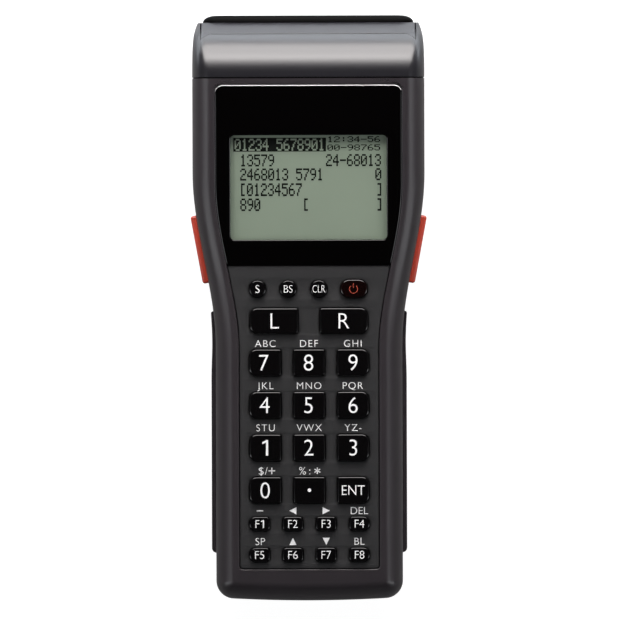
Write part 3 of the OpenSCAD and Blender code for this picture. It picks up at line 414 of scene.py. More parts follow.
# how far out the bar and its flange begin and end, the notch too, and the notch's gap
BAR_X, FLANGE_X, NOTCH_X, NOTCH_GAP = (-2.2, 1.6), (-3.2, -2.15), (-5.4, 1.5), 0.25


def trigger_frame():
    """The right trigger's own axes: x out of the shell, y along it."""
    low, high = span("trigger_right")
    z = (low.z + high.z) / 2
    slope = atan((body_hw(TRIGGER_Y + TRIGGER_L / 2)
                       - body_hw(TRIGGER_Y - TRIGGER_L / 2)) / TRIGGER_L)
    origin = Vector((body_hw(TRIGGER_Y) * MM, TRIGGER_Y * MM + LOW.y, z * MM))
    return Matrix.Translation(origin) @ Matrix.Rotation(-slope, 4, "Z")


def trigger_box(xs, more_l=0, more_h=0):
    """A box in the trigger's own axes, as long and high as the bar and some more."""
    half_l, half_h = TRIGGER_L / 2 + more_l, TRIGGER_H / 2 + more_h
    b = box((xs[0], -half_l, -half_h), (xs[1], half_l, half_h))
    b.data.transform(Matrix.Translation((0, -LOW.y, 0)))
    return b


def at_trigger(obj, side):
    """From the trigger's own axes to its place on the right (1) or the left (-1)."""
    obj.data.transform(Matrix.Diagonal((side, 1, 1, 1)) @ trigger_frame())
    return obj


def trigger_notches():
    return [at_trigger(trigger_box(NOTCH_X, NOTCH_GAP, NOTCH_GAP), side) for side in (1, -1)]


# the rounding at the opening's edge, and the face's flat step before it
RIM_W, RIM_H, RIM_STEP = 0.25, 0.3, 0.6


def front_shell():
    rows = [level(case_half(CHAMFER, SEAM + CHAMFER), SPLIT_Z + JOINT_GAP),
            level(case_half(0), SPLIT_Z + CHAMFER_TOP)]
    rows += [on_face(case_half(SHOULDER_W * (1 - cos(a))), SHOULDER_H * (1 - sin(a)))
             for a in quarter(SHOULDER_N)]
    rows.append(on_face(opening_half(RIM_STEP), 0))
    rows += [on_face(opening_half(RIM_W * (1 - sin(a))), RIM_H * (1 - cos(a)))
             for a in quarter(4)]
    rows += [on_panel(opening_half(0), SEAT_Z), on_panel(opening_half(-LEDGE), SEAT_Z),
             on_panel(opening_half(-LEDGE), LEDGE_Z),
             on_panel(case_half(SHOULDER_W - 0.6, WALL), LEDGE_Z),
             on_face(case_half(WALL, WALL), SHOULDER_H + 0.5),
             level(case_half(WALL, WALL), SPLIT_Z + JOINT_GAP)]
    return cut(ring_solid("front_shell", rows), *trigger_notches())


# ---- head cap and scan bezel ----

NOSE_START, NOSE_H = 0.8, 24.0
NOSE_L = CAP_END_Y - CAP_Y + 0.1
NOSE_END_A = asin((CAP_END_Y - CAP_Y - NOSE_START) / NOSE_L)
NOSE_END_Z = face_z(CAP_Y) - NOSE_H + NOSE_H * cos(NOSE_END_A)
CREASE_Y, CREASE_X, CREASE_R, RIDGE_R = 164.6, 28.2, 0.12, 0.16
SLIT_X, SLIT_FOOT_Y, SLIT_HW, SLIT_DEPTH = 31.2, 162.9, 0.2, 2.6
SLIT_ARC = (40, 80)
CREASE_A = asin((CREASE_Y - CAP_Y - NOSE_START) / NOSE_L)
CAP_DRAW, CAP_UNDER_RISE, CAP_UNDER_START, CAP_END_ROUND = 1.6, 3.0, 0.35, 3.5
LIP = 1.7
# the black band that paints shade behind the parting line: half its length along y, and how far in
# its outer and inner faces lie
SHADE_BAND_HW, SHADE_BAND_NEAR, SHADE_BAND_FAR = 0.5, 0.35, 1.0


def nose(a, d):
    """A point of the nose's curve drawn in by d."""
    y = CAP_Y + NOSE_START + (NOSE_L - d) * sin(a)
    z = face_z(CAP_Y) - NOSE_H + (NOSE_H - d) * cos(a)
    return y, z


def cap_hw(f):
    return body_hw(CAP_Y) - CAP_DRAW * f ** 3


def cap_under(f):
    return CAP_UNDER_RISE * (max(f - CAP_UNDER_START, 0) / (1 - CAP_UNDER_START)) ** 2


def cap_loop(w, y1, z1, y2, z2, f, d):
    """A loop w wide to each side, from its top (y1, z1) to its underside (y2, z2)."""
    sw = lerp(SHOULDER_W, CAP_END_ROUND, f) - d / 2
    sh = lerp(SHOULDER_H, CAP_END_ROUND, f) - d / 2
    uw = lerp(BACK_ROUND_W, CAP_END_ROUND, f) - d / 2
    uh = lerp(BACK_ROUND_H, CAP_END_ROUND, f) - d / 2
    flat = [((w - sw) * i / 6, z1) for i in range(6)]
    flat += [(w - sw + sw * sin(a), z1 - sh + sh * cos(a)) for a in quarter(ARC_N)]
    flat += [(w - uw + uw * cos(a), z2 + uh - uh * sin(a)) for a in quarter(ARC_N)]
    flat += [((w - uw) * i / 6, z2) for i in range(5, -1, -1)]
    return mirrored([(x, lerp(y2, y1, (z - z2) / (z1 - z2)), z) for x, z in flat])


def cap_row(f, d):
    """The cap's loop at the share f of its length; past the crease it runs straight."""
    a = NOSE_END_A * f
    y, z = nose(a, d)
    if a > CREASE_A:
        y0, z0 = nose(CREASE_A, d)
        y1, z1 = nose(NOSE_END_A, d)
        t = (a - CREASE_A) / (NOSE_END_A - CREASE_A)
        y, z = lerp(y0, y1, t), lerp(z0, z1, t)
    foot = lerp(CAP_Y + NOSE_START, CAP_END_Y, f) - d / 2
    return cap_loop(cap_hw(f) - d, y, z, foot, cap_under(f) + d, f, d)


def slit(side):
    arc = [radians(a) for a in between(*SLIT_ARC, 10)]
    loop = [nose(a, -2) for a in arc] + [nose(a, SLIT_DEPTH) for a in arc[::-1]]
    points = [(side * x, y, z) for x in (SLIT_X - SLIT_HW, SLIT_X + SLIT_HW) for y, z in loop]
    return cutter(points, capped_faces(2, len(loop)))


def crease_turns(cap):
    """Fine grooves over the cap's surface, from the crease's ends to the slits' feet."""
    bpy.context.view_layer.update()
    cutters = []
    for side in (1, -1):
        hits = []
        for t in steps(5):
            x, y = side * lerp(CREASE_X, SLIT_X, t), lerp(CREASE_Y, SLIT_FOOT_Y, t ** 1.5)
            at = cap.ray_cast(place((x, y, 60)), Vector((0, 0, -1)))[1]
            hits.append((x, y, at.z / MM))
        cutters += [rod(a, b, CREASE_R, 12) for a, b in zip(hits, hits[1:])]
    return cutters


def head_cap():
    crease_f = CREASE_A / NOSE_END_A
    fs = sorted([f for f in steps(26) if abs(f - crease_f) > 0.02] + [crease_f])[:-1]
    start = CAP_Y + SEAM
    # out over the nose, round its end in small steps, and back inside
    rows = [cap_loop(body_hw(CAP_Y) - 0.06, start, face_z(CAP_Y) - 0.06, start, 0.06, 0, 0),
            cap_loop(body_hw(CAP_Y), start + 0.08, face_z(CAP_Y), start + 0.08, 0, 0, 0)]
    rows += [cap_row(f, 0) for f in fs[1:]]
    rows += [cap_loop(cap_hw(1), CAP_END_Y - 0.15, NOSE_END_Z + 0.3, CAP_END_Y - 0.15,
                      cap_under(1) - 0.05, 1, 0),
             cap_loop(cap_hw(1) - 0.2, CAP_END_Y, NOSE_END_Z, CAP_END_Y, cap_under(1) + 0.1, 1, 0),
             cap_loop(cap_hw(1) - WALL, CAP_END_Y, NOSE_END_Z - LIP, CAP_END_Y,
                      cap_under(1) + LIP, 1, WALL)]
    rows += [cap_row(f, WALL) for f in fs[::-1] if f < 0.9]
    rows.append(cap_loop(body_hw(CAP_Y) - WALL, start, face_z(CAP_Y) - WALL, start, WALL, 0, WALL))
    y, z = nose(CREASE_A, 0.02)
    ridge = rod((-CREASE_X, y, z), (CREASE_X, y, z), RIDGE_R, 24)
    cap = ring_solid("nose_cap", rows)
    turns = crease_turns(cap)
    return add(cut(cap, slit(1), slit(-1), *turns), ridge)


def seam_liner():
    """A dark band behind the parting line, which closes the view into the case: painted shade, so
    that the gap reads dark.
    """
    foot, head = CAP_Y - SHADE_BAND_HW, CAP_Y + SHADE_BAND_HW
    return ring_solid("seam_liner", [
        cap_loop(body_hw(CAP_Y) - d, y, face_z(CAP_Y) - d, y, d, 0, d)
        for y, d in ((foot, SHADE_BAND_NEAR), (head, SHADE_BAND_NEAR), (head, SHADE_BAND_FAR), (foot, SHADE_BAND_FAR))])


def rounded_loop(w, h, r, n=10):
    """A rectangle about the middle; r is its corners' radius or (left, right)."""
    rl, rr = r if isinstance(r, tuple) else (r, r)
    loop = []
    for x, y, rad, start in ((1, 1, rr, 0), (-1, 1, rl, 90), (-1, -1, rl, 180), (1, -1, rr, 270)):
        angles = [radians(start + 90 * t) for t in steps(n)]
        loop += [(x * (w / 2 - rad) + rad * cos(a), y * (h / 2 - rad) + rad * sin(a))
                 for a in angles]
    return loop


# the bezel's rounding, and how far its neck and its port are drawn in: x, z and radius
BEZEL_ROUND, BEZEL_R = (3.8, 1.3), 4.2
NECK, PORT, NECK_DEPTH = (1.4, 1.75, 3), (4.5, 3.85, 1), 2.5


def scan_bezel():
    mid_z = (BEZEL_LOW.z + BEZEL_HIGH.z) / 2
    w, h = BEZEL_HIGH.x - BEZEL_LOW.x, BEZEL_HIGH.z - BEZEL_LOW.z

    def row(y, dx, dz, r):
        return [(x, y, z + mid_z) for x, z in rounded_loop(w - 2 * dx, h - 2 * dz, r)]

    out = TOTAL_L - CAP_END_Y - 0.1
    rows = [row(CAP_END_Y - NECK_DEPTH, *NECK), row(CAP_END_Y + 0.02, *NECK),
            row(CAP_END_Y + 0.05, 0, 0, BEZEL_R)]
    for t in steps(8):
        a = t * pi / 2
        dx, dz = (size * (1 - cos(a)) for size in BEZEL_ROUND)
        rows.append(row(CAP_END_Y + 0.1 + out * sin(a), dx, dz, BEZEL_R - 1.6 * t))
    rows += [row(TOTAL_L, 4.3, 3.6, 1.2), row(TOTAL_L - 0.3, *PORT),
             row(CAP_END_Y - NECK_DEPTH, *PORT)]
    return ring_solid("scan_rim", rows)


def scan_pane():
    low, high = span("scan_window")
    mid_z, w, h = (low.z + high.z) / 2, high.x - low.x, high.z - low.z
    rows = [[(x, y, z + mid_z) for x, z in rounded_loop(w - 2 * d, h - 2 * d, 0.8, 5)]
            for y, d in ((low.y, 0), (high.y - 0.2, 0), (high.y, 0.2))]
    return capped_solid("scan_pane", rows)


# ---- rear shell and battery cover ----

PIN_LOW, PIN_HIGH = span("cover_hinge_pin")
HINGE = (PIN_LOW + PIN_HIGH) / 2
HINGE_BLOCK_X, HINGE_BLOCK_T = PIN_HIGH.x + 1, 2.6
PIN_BORE_R, KNUCKLE_BORE_R = 0.82, 0.86
KNUCKLE_X, KNUCKLE_HW, KNUCKLE_R, KNUCKLE_GAP = 12.0, 2.45, 1.8, 0.25
ARM_L, ARM_T = 3.8, 1.6
SCREWS = [(25, CAP_Y - 8.8), (-25, CAP_Y - 8.8), (16.5, 7.4), (-16.5, 7.4)]
BOSS_R, WELL_R, WELL_Z, SHANK_R = 3.3, 2.3, 8.0, 1.25
CONTACT_XS, CONTACT_Y, CONTACT_R = (-5, 0, 5), 6, 1.5
TRAY_LIP, TRAY_FIT, BAY_Z, IR_FIT = 1.2, 0.05, 11, 0.1
TIP_HW, TIP_WALL = 2.5, 1.2
LOCK_SLOT_HW, LOCK_SLOT_Y, LOCK_SLOT_Z = 6.4, 11.6, (0.8, 2.4)
LOCK_WINDOW_HW, LOCK_WINDOW_Y, LOCK_WINDOW_L = 5.2, COVER_FOOT_Y + 2.2, 7.4
THUMB_HW, THUMB_Y, THUMB_L, LOCK_FLANGE_Z = 5, COVER_FOOT_Y + 4.8, 4.6, 1.4
COVER_FOOT_R, COVER_HEAD_R, COVER_ROUND_W = 1.4, 0.7, 11
RIB_HW, RIB_Y, RIB_PITCH, RIB_DEPTH, RIB_COUNT = 13, LOCK_WINDOW_Y + 11, 2.2, 0.35, 5


def back_half(w, z, d, top_z, y, rw, rh):
    """Right half of a section of the back, from the joint down to the middle."""
    half = [(w - d - (CHAMFER if d == 0 else 0), y, top_z), (w - d, y, top_z - CHAMFER)]
    half += [(w - rw + (rw - d) * cos(a), y, z + rh - (rh - d) * sin(a))
             for a in quarter(BACK_N)]
    return half + [((w - rw) * 0.5, y, z + d)]


def section(half, y, z):
    return half + [(0, y, z)] + [(-p[0],) + p[1:] for p in half[::-1]]


def rear_shell():
    # where its sections lie, close together where the back turns
    ys = [FOOT_BOW * (t ** 2) for t in steps(10, 1)] + [0.8, 1.1, 1.5, 2, 2.6, 3.3, 4.1, 5]
    ys += [FOOT_SIDE_Y, 6.6, 7.3, 8, 9.5, 11, 12.5] + [12.9 + 0.7 * t for t in steps(6)]
    ys += [15 + 3.5 * i for i in range(14)] + between(62, 84.3, 20)
    ys += [84.3 + 2 * t for t in steps(8, 1)] + between(86.3, 124, 34, 1)
    ys += [133, 142, CAP_Y - SEAM]
    rows = []
    for y in ys:
        w, z = rear_hw(y), back_z(y)
        rw, rh = min(BACK_ROUND_W, 0.6 * w), min(BACK_ROUND_H, 0.8 * (SPLIT_Z - z))
        outer = section(back_half(w, z, 0, SPLIT_Z - JOINT_GAP, y, rw, rh), y, z)
        if y < FOOT_ROUND_L:
            y = WALL + y * (1 - WALL / FOOT_ROUND_L)
        w, wall = (w, WALL) if w > TIP_HW else (TIP_HW, TIP_WALL)
        inner = section(back_half(w, z, wall, SPLIT_Z - JOINT_GAP, y, rw, rh), y, z + WALL)
        rows.append(outer + inner[::-1])
    shell = folded_solid("rear_shell", rows, closed_foot=True)
    hy, hz = HINGE.y, HINGE.z
    add(shell, box((-HINGE_BLOCK_X, hy - HINGE_BLOCK_T, groove(hy) + WALL / 2),
                   (HINGE_BLOCK_X, hy + HINGE_BLOCK_T, hz + HINGE_BLOCK_T)),
        *[rod((x, y, 0.85 * WALL), (x, y, SPLIT_Z - JOINT_GAP), BOSS_R) for x, y in SCREWS])
    low, high = span("battery_tray")
    ir_low, ir_high = span("ir_window")
    slot_hw, slot_r = KNUCKLE_HW + KNUCKLE_GAP, KNUCKLE_R + KNUCKLE_GAP
    cutters = [
        box((low.x + TRAY_LIP, low.y + TRAY_LIP, -1),
            (high.x - TRAY_LIP, high.y - TRAY_LIP, BAY_Z)),
        box((low.x - TRAY_FIT, low.y - TRAY_FIT, low.z),
            (high.x + TRAY_FIT, high.y + TRAY_FIT, SPLIT_Z + 1)),
        box((-LOCK_SLOT_HW, LOCK_SLOT_Y, LOCK_SLOT_Z[0]),
            (LOCK_SLOT_HW, low.y + 3, LOCK_SLOT_Z[1])),
        box((ir_low.x - IR_FIT, -1, ir_low.z - IR_FIT),
            (ir_high.x + IR_FIT, FOOT_SIDE_Y, ir_high.z + IR_FIT)),
        rod((-HINGE_BLOCK_X - 1, hy, hz), (HINGE_BLOCK_X + 1, hy, hz), PIN_BORE_R),
        *[box((side * KNUCKLE_X - slot_hw, hy - ARM_L - KNUCKLE_GAP, -1),
              (side * KNUCKLE_X + slot_hw, hy + slot_r, hz + slot_r)) for side in (1, -1)],
        *[rod((x, y, -1), (x, y, WELL_Z), WELL_R) for x, y in SCREWS],
        *[rod((x, y, 2), (x, y, SPLIT_Z + 1), SHANK_R) for x, y in SCREWS],
        *[rod((x, CONTACT_Y, -1), (x, CONTACT_Y, WELL_Z), CONTACT_R) for x in CONTACT_XS],
        *trigger_notches(),
    ]
    return cut(shell, *cutters)


def cover_hw(y):
    waist = 0.25 * smooth((y - GROOVE_FOOT_Y) / 12)
    return GRIP_W / 2 + COVER_OUT - waist + 0.6 * (body_hw(y) - GRIP_W / 2)


def corner(d, r):
    """How far an edge is drawn in at the distance d from the end of a rounding r."""
    return 0 if d >= r else r - sqrt(r * r - (r - d) ** 2)


def battery_cover():
    side_z = COVER_HIGH.z
    ys = [COVER_FOOT_Y + d for d in (0, 0.15, 0.35, 0.6, 1.0, COVER_FOOT_R)]
    ys += [18.5 + 3.5 * i for i in range(13)]
    ys += between(62, COVER_HEAD_Y - COVER_HEAD_R, 20)
    ys += [COVER_HEAD_Y - d for d in (0.4, 0.15, 0)]
    rows = []
    for y in ys:
        edge = CHAMFER if y in (ys[0], ys[-1]) else 0
        z = groove(y) + edge
        w = cover_hw(y) - max(corner(y - COVER_FOOT_Y, COVER_FOOT_R),
                              corner(COVER_HEAD_Y - y, COVER_HEAD_R), edge)
        outer = section(back_half(w, z, 0, side_z, y, COVER_ROUND_W, BACK_ROUND_H), y, z)
        w, z = body_hw(y) - SIDE_RECESS + COVER_GAP, groove(y) + COVER_T
        inner = section(back_half(w, z, 1e-6, side_z, y, BACK_ROUND_W, BACK_ROUND_H), y, z)
        rows.append(outer + inner[::-1])
    cover = folded_solid("back_cover", rows)
    y, z = HINGE.y, HINGE.z
    arm_xs = [(side * KNUCKLE_X - KNUCKLE_HW, side * KNUCKLE_X + KNUCKLE_HW) for side in (1, -1)]
    arms = [box((x0, y - ARM_L, z - ARM_T), (x1, y, z)) for x0, x1 in arm_xs]
    arms += [box((x0, y - ARM_L, groove(COVER_HEAD_Y) + COVER_T / 4), (x1, COVER_HEAD_Y, z))
             for x0, x1 in arm_xs]
    arms += [rod((x0, y, z), (x1, y, z), KNUCKLE_R) for x0, x1 in arm_xs]
    add(cover, *arms)
    window = box((-LOCK_WINDOW_HW, LOCK_WINDOW_Y, -1),
                 (LOCK_WINDOW_HW, LOCK_WINDOW_Y + LOCK_WINDOW_L, 2))
    ribs = [box((-RIB_HW, y0, -1), (RIB_HW, y0 + 1, RIB_DEPTH))
            for y0 in (RIB_Y + RIB_PITCH * i for i in range(RIB_COUNT))]
    bore = rod((-HINGE_BLOCK_X, y, z), (HINGE_BLOCK_X, y, z), KNUCKLE_BORE_R)
    return cut(cover, window, bore, *ribs)


def cover_lock():
    low, high = span("cover_lock")
    plate = box((-THUMB_HW, THUMB_Y, low.z), (THUMB_HW, THUMB_Y + THUMB_L, LOCK_FLANGE_Z + 0.1))
    bevel(plate, 0.2, 2)
    ridge_ys = [THUMB_Y + 0.9 + 0.8 * i for i in range(4)]
    cut(plate, *[box((-4, y, -1), (4, y + 0.4, low.z + 0.25)) for y in ridge_ys])
    return add(plate, box((low.x, low.y, LOCK_FLANGE_Z), tuple(high)))


def named(obj, name):
    obj.name = obj.data.name = name
    return obj


# ---- front panels ----

PANEL_GAP, PANEL_EDGE, KEY_GAP, KEY_FLANGE = 0.28, 0.12, 0.2, 0.5
VIEW_HW, VIEW_FOOT_Y, VIEW_HEAD_Y, VIEW_R = 22.7, 104.7, 135.1, 1.2
WINDOW_T, WINDOW_EDGE, WINDOW_GAP, WINDOW_LIFT = 1.59, 0.24, 0.1, 0.3


def flat_piece(name, loops, thick, edge):
    """A plate from z = -thick to 0 with rounded edges, from closed loops, holes included."""
    curve = bpy.data.curves.new(name, "CURVE")
    curve.dimensions, curve.fill_mode = "2D", "BOTH"
    curve.extrude, curve.bevel_depth = (thick / 2 - edge) * MM, edge * MM
    curve.bevel_resolution, curve.offset = 2, -edge * MM
    for loop in loops:
        spline = curve.splines.new("POLY")
        spline.points.add(len(loop) - 1)
        for point, (x, y) in zip(spline.points, loop):
            point.co = (x * MM, y * MM, 0, 1)
        spline.use_cyclic_u = True
    mesh = mesh_of(name, curve)
    mesh.transform(Matrix.Translation((0, 0, -thick / 2 * MM)))
    return shade(link(name, mesh))


def shifted(loop, x, y):
    return [(px + x, py + y) for px, py in loop]


def key_sizes(node):
    """Middle, width, height, (left, right) radius and top of a key above the panel."""
    low, high = span(node)
    x, y = (low.x + high.x) / 2, (low.y + high.y) / 2
    w, h = high.x - low.x - 2 * KEY_FLANGE, high.y - low.y - 2 * KEY_FLANGE
    if node in ("key_s", "key_bs", "key_clr", "key_power"):
        radii = (h / 2 - 0.03, h / 2 - 0.03)
    elif node.startswith("key_f"):
        radii = (h / 2 - 0.05 if x < -10 else 1.2, h / 2 - 0.05 if x > 10 else 1.2)
    else:
        radii = (2.2 if x < -5 else 0.7, 2.2 if x > 5 else 0.7)
    return x, y, w, h, radii, high.z


KEYS = sorted(n for n in frame["nodes"] if n.startswith("key_"))


def both_sides(right):
    return right + [(-x, y) for x, y in right[::-1]]


def keypad_panel():
    x0, y0 = PAD_W / 2 - PANEL_GAP - PAD_R, PAD_FOOT_Y + PANEL_GAP + PAD_R
    right = [(x0 + PAD_R * cos(a), y0 + PAD_R * sin(a))
             for a in (radians(-90 + 90 * t) for t in steps(8)[:-1])]
    right += [(opening_hw(y) - PANEL_GAP, y) for y in between(y0, FOLD_Y, 60)]
    loops, g = [both_sides(right)], KEY_GAP
    for node in KEYS:
        x, y, w, h, (rl, rr), _ = key_sizes(node)
        loops.append(shifted(rounded_loop(w + 2 * g, h + 2 * g, (rl + g, rr + g)), x, y))
    panel = flat_piece("key_panel", loops, PANEL_TOP_Z - SEAT_Z, PANEL_EDGE)
    return moved(panel, 0, 0, PANEL_TOP_Z)


def tilted(obj):
    """From the display's own plane (y from the fold, z from its face) to the frame."""
    obj.data.transform(Matrix.Translation(place((0, FOLD_Y, PANEL_TOP_Z)))
                       @ Matrix.Rotation(TILT, 4, "X"))
    return obj


def plane_y(y):
    return (y - FOLD_Y) / cos(TILT)


def window_loop(d):
    x0, y0 = WINDOW_W / 2 - d - WINDOW_R, WINDOW_HEAD_Y - d - WINDOW_R
    right = [(opening_hw(y) - d, y) for y in between(FOLD_Y, y0, 50)]
    right += [(x0 + WINDOW_R * cos(a), y0 + WINDOW_R * sin(a)) for a in quarter(ARC_N, 1)]
    return [(x, plane_y(y)) for x, y in both_sides(right)]


def display_window():
    y1, y2 = plane_y(VIEW_FOOT_Y), plane_y(VIEW_HEAD_Y)
    view = shifted(rounded_loop(2 * VIEW_HW, y2 - y1, VIEW_R), 0, (y1 + y2) / 2)
    plate = flat_piece("window", [window_loop(WINDOW_GAP), view], WINDOW_T, WINDOW_EDGE)
    plate.data.transform(Matrix.Translation((0, 0, WINDOW_LIFT * MM)))
    return tilted(plate)


# ---- display content: plain digits in dots ----

DIGITS = dict(zip("0123456789[]:-", (
    "01110 10001 10011 10101 11001 10001 01110", "00100 01100 00100 00100 00100 00100 01110",
    "01110 10001 00001 00110 01000 10000 11111", "01110 10001 00001 00110 00001 10001 01110",
    "00010 00110 01010 10010 11111 00010 00010", "11111 10000 11110 00001 00001 10001 01110",
    "00110 01000 10000 11110 10001 10001 01110", "11111 00001 00010 00100 00100 01000 01000",
    "01110 10001 10001 01110 10001 10001 01110", "01110 10001 10001 01111 00001 00010 01100",
    "01110 01000 01000 01000 01000 01000 01110", "01110 00010 00010 00010 00010 00010 01110",
    "00000 00100 00100 00000 00100 00100 00000", "00000 00000 00000 11111 00000 00000 00000")))
# text, left edge, top edge, a dot's height and its width; the first line is light on the bar
LINES = [
    ("01234 5678901", -21.4, 133.95, 0.5, 0.338), ("12:34-56", 5.5, 134.6, 0.25, 0.325),
    ("00-98765", 5.5, 132.2, 0.25, 0.325),
    *[line + (0.338,) for line in (
        ("13579", -19.8, 129.4, 0.5), ("24-68013", 5.1, 129.4, 0.5),
        ("2468013 5791", -19.8, 125.3, 0.5), ("0", 19.4, 125.3, 0.5),
        ("[01234567", -19.9, 121.0, 0.53), ("]", 19.7, 121.0, 0.53),
        ("890", -19.8, 116.6, 0.52), ("[", -1.6, 116.6, 0.52), ("]", 19.7, 116.6, 0.52))],
]
BAR = (-21.8, 5.1, 134.2, 130.2)
# dots in a row of a character with the space after it, and the dots' own sizes
CHAR_DOTS, DOT_GAP, DOT_SPREAD, DOT_T = 6, 0.003, 0.04, 0.012
LCD_Z = -1.65


def display_content():
    quads = {"dots": [], "bar": [BAR], "light": []}
    for line, (text, left, top, dot_h, dot_w) in enumerate(LINES):
        group = quads["dots" if line else "light"]
        for i, char in enumerate(text):
            for r, row in enumerate(DIGITS.get(char, "").split()):
                for c, bit in enumerate(row):
                    if bit == "1" and not row[:c].endswith("1"):
                        x, y = left + (CHAR_DOTS * i + c) * dot_w, top - r * dot_h
                        run = len(row[c:].split("0")[0]) * dot_w
                        group.append((x - DOT_SPREAD, x + run + DOT_SPREAD, y, y - dot_h + DOT_GAP))
    made = []
    for (name, group), z in zip(quads.items(), (0.04, 0.03, 0.05)):
        loops = [[(x, plane_y(y)) for x, y in ((x0, y1), (x1, y1), (x1, y0), (x0, y0))]
                 for x0, x1, y0, y1 in group]
        made.append(tilted(plates("display_" + name, loops, LCD_Z + z, LCD_Z + z + DOT_T)))
    return made


# ---- keys and their legends ----

def key_cap(node):
    x, y, w, h, (rl, rr), top = key_sizes(node)
    r = 0.42 if h > 5 else 0.34   # of the edge round its top

    def row(d, z):
        loop = rounded_loop(w - 2 * d, h - 2 * d, (max(rl - d, 0.15), max(rr - d, 0.15)))
        return [(px + x, py + y, z) for px, py in loop]

    rows = [row(0, SEAT_Z - 0.2), row(0, top - r)]
    rows += [row(r * (1 - cos(a)), top - r * (1 - sin(a))) for a in quarter(6, 1)]
    rows.append(row(r + 0.18, top))
    return capped_solid("cap_" + node, rows)


def text_mesh(name, text, cap, weight, spacing=1.0, squeeze=1.0):
    """A legend in the plane, its capitals cap high and its middle at the origin."""
    curve = bpy.data.curves.new(name, "FONT")
    curve.body, curve.size = text, cap / CAP_SHARE * MM
    curve.space_character, curve.offset = spacing, weight * MM
    curve.extrude, curve.resolution_u = PRINT_Z[1] * MM, 6
    mesh = mesh_of(name, curve)
    xs = [v.co.x for v in mesh.vertices]
    mesh.transform(Matrix.Diagonal((squeeze, 1, 1, 1))
                   @ Matrix.Translation((-(min(xs) + max(xs)) / 2, -cap / 2 * MM, 0)))
    return link(name, mesh)


def cap_share():
    """Height of a capital in the font, as a share of its size."""
    curve = bpy.data.curves.new("measure", "FONT")
    curve.body, curve.size = "H", 1.0
    return max(v.co.y for v in mesh_of("measure", curve).vertices)


CAP_SHARE = cap_share()
# the print's underside and top, how far it is lifted, and the panel's stroke weight
PRINT_Z, PRINT_LIFT, PANEL_WEIGHT = (-0.008, 0.008), 0.012, -0.025
# how far the digits' middles lie from their keys' middles in x
DIGIT_SHIFTS = {0: -0.1, 2: -0.15, 4: -0.2, 5: -0.2, 7: -0.37, 8: -0.15}
# node, legend, height of a capital, shift in x, stroke weight, squeeze
KEY_LEGENDS = [
    *[("key_%d" % i, str(i), 4.68, DIGIT_SHIFTS.get(i, 0), -0.055, 0.95)
      for i in (0, 2, 3, 4, 5, 6, 7, 8, 9)],
    *[("key_f%d" % i, "F%d" % i, 2.35, 0, -0.03, 0.95) for i in range(2, 9)],
    ("key_f1", "F", 2.35, -0.62, -0.03, 0.95), ("key_enter", "ENT", 2.85, 0, -0.03, 0.90),
    ("key_scan_left", "L", 4.5, 0.2, -0.055, 0.95), ("key_scan_right", "R", 4.5, 0, -0.055, 0.95),
    ("key_s", "S", 2.25, 0, -0.04, 1.0), ("key_bs", "BS", 2.2, 0, -0.04, 0.88),
    ("key_clr", "CLR", 2.2, 0, -0.045, 0.66),
]
# legend, x, y, height of a capital, spacing
PANEL_LEGENDS = [
    *[(text, x, y, 2.0, 1.17) for y, row in ((74.65, ("ABC", "DEF", "GHI")),
                                             (62.4, ("JKL", "MNO", "PQR")),
                                             (50.2, ("STU", "VWX", "YZ-")))
      for x, text in zip((-12.7, 0.0, 12.7), row)],
    *[(sign, x, 37.7, 2.2, 1.0) for sign, x in zip("$/%:", (-14.0, -12.5, -2.0, 0.1))],
    ("DEL", 14.5, 26.1, 2.1, 1.0), ("SP", -14.3, 17.2, 2.05, 1.05),
    ("BL", 14.5, 17.2, 2.05, 1.05),
]
# middle of an arrow and the way it points, in degrees
ARROWS = [(-4.84, 26.1, 180), (4.84, 26.1, 0), (-4.84, 17.2, 90), (4.84, 17.2, 270)]


def rotated(points, angle):
    c, s = cos(radians(angle)), sin(radians(angle))
    return [(c * x - s * y, s * x + c * y) for x, y in points]


def bar(length, width, angle=0):
    return rotated([(x * length / 2, y * width / 2) for x, y in SQUARE], angle)


def arrow(angle):
    return rotated([(1.05, 0), (-1.05, 1.05), (-1.05, -1.05)], angle)


def figure_one(h, w):
    """A figure 1 with a flag, its stem a little right of the middle."""
    x, y = 0.04 * h, -h / 2
    return [(x, y), (x + w, y), (x + w, y + h), (x + 0.2 * w, y + h), (x - 0.24 * h, y + 0.86 * h),
            (x - 0.24 * h, y + 0.74 * h), (x, y + 0.84 * h)]


def power_sign():
    """The usual sign: a ring open at its top, and a bar in the gap."""
    r, w, gap, n = 1.2, 0.10, 38, 36
    angles = [radians(a) for a in between(90 + gap, 450 - gap, n)]
    ring = [[((r + q) * cos(a), (r + q) * sin(a)) for a, q in
             ((a0, w), (a1, w), (a1, -w), (a0, -w))] for a0, a1 in zip(angles, angles[1:])]
    return ring + [shifted(bar(1.35, 2 * w, 90), 0, 1.0)]


# ---- side triggers, cells ----

def trigger(side):
    button = bevel(trigger_box(BAR_X), 0.75, 4)
    add(button, trigger_box(FLANGE_X, 1))
    name = "trigger_bar_right" if side > 0 else "trigger_bar_left"
    return shade(named(at_trigger(button, side), name))


def turned(name, profile, centre, along):
    """A solid of revolution about a line along y; profile is (distance, radius)."""
    n = 48
    rows = [[(centre[0] + r * cos(a), centre[1] + along * d, centre[2] + r * sin(a))
             for a in (2 * pi * i / n for i in range(n))] for d, r in profile]
    return capped_solid(name, rows)


def battery(node, along):
    low, high = span(node)
    c, half, r = (low + high) / 2, (high.y - low.y) / 2, (high.x - low.x) / 2
    sleeve = [(-half + 0.4, r - 0.9), (-half + 0.4, r - 0.35), (-half + 0.6, r),
              (half - 1.9, r), (half - 1.5, r - 0.4), (half - 1.5, r - 1.2)]
    poles = [(-half, 4.6), (-half, 4.9), (-half + 0.2, r - 0.95), (half - 1.45, r - 1.25),
             (half - 1.2, 3.4), (half - 1.2, 2.75), (half - 0.25, 2.7), (half, 2.35)]
    return turned("sleeve_" + node, sleeve, c, along), turned("poles_" + node, poles, c, along)
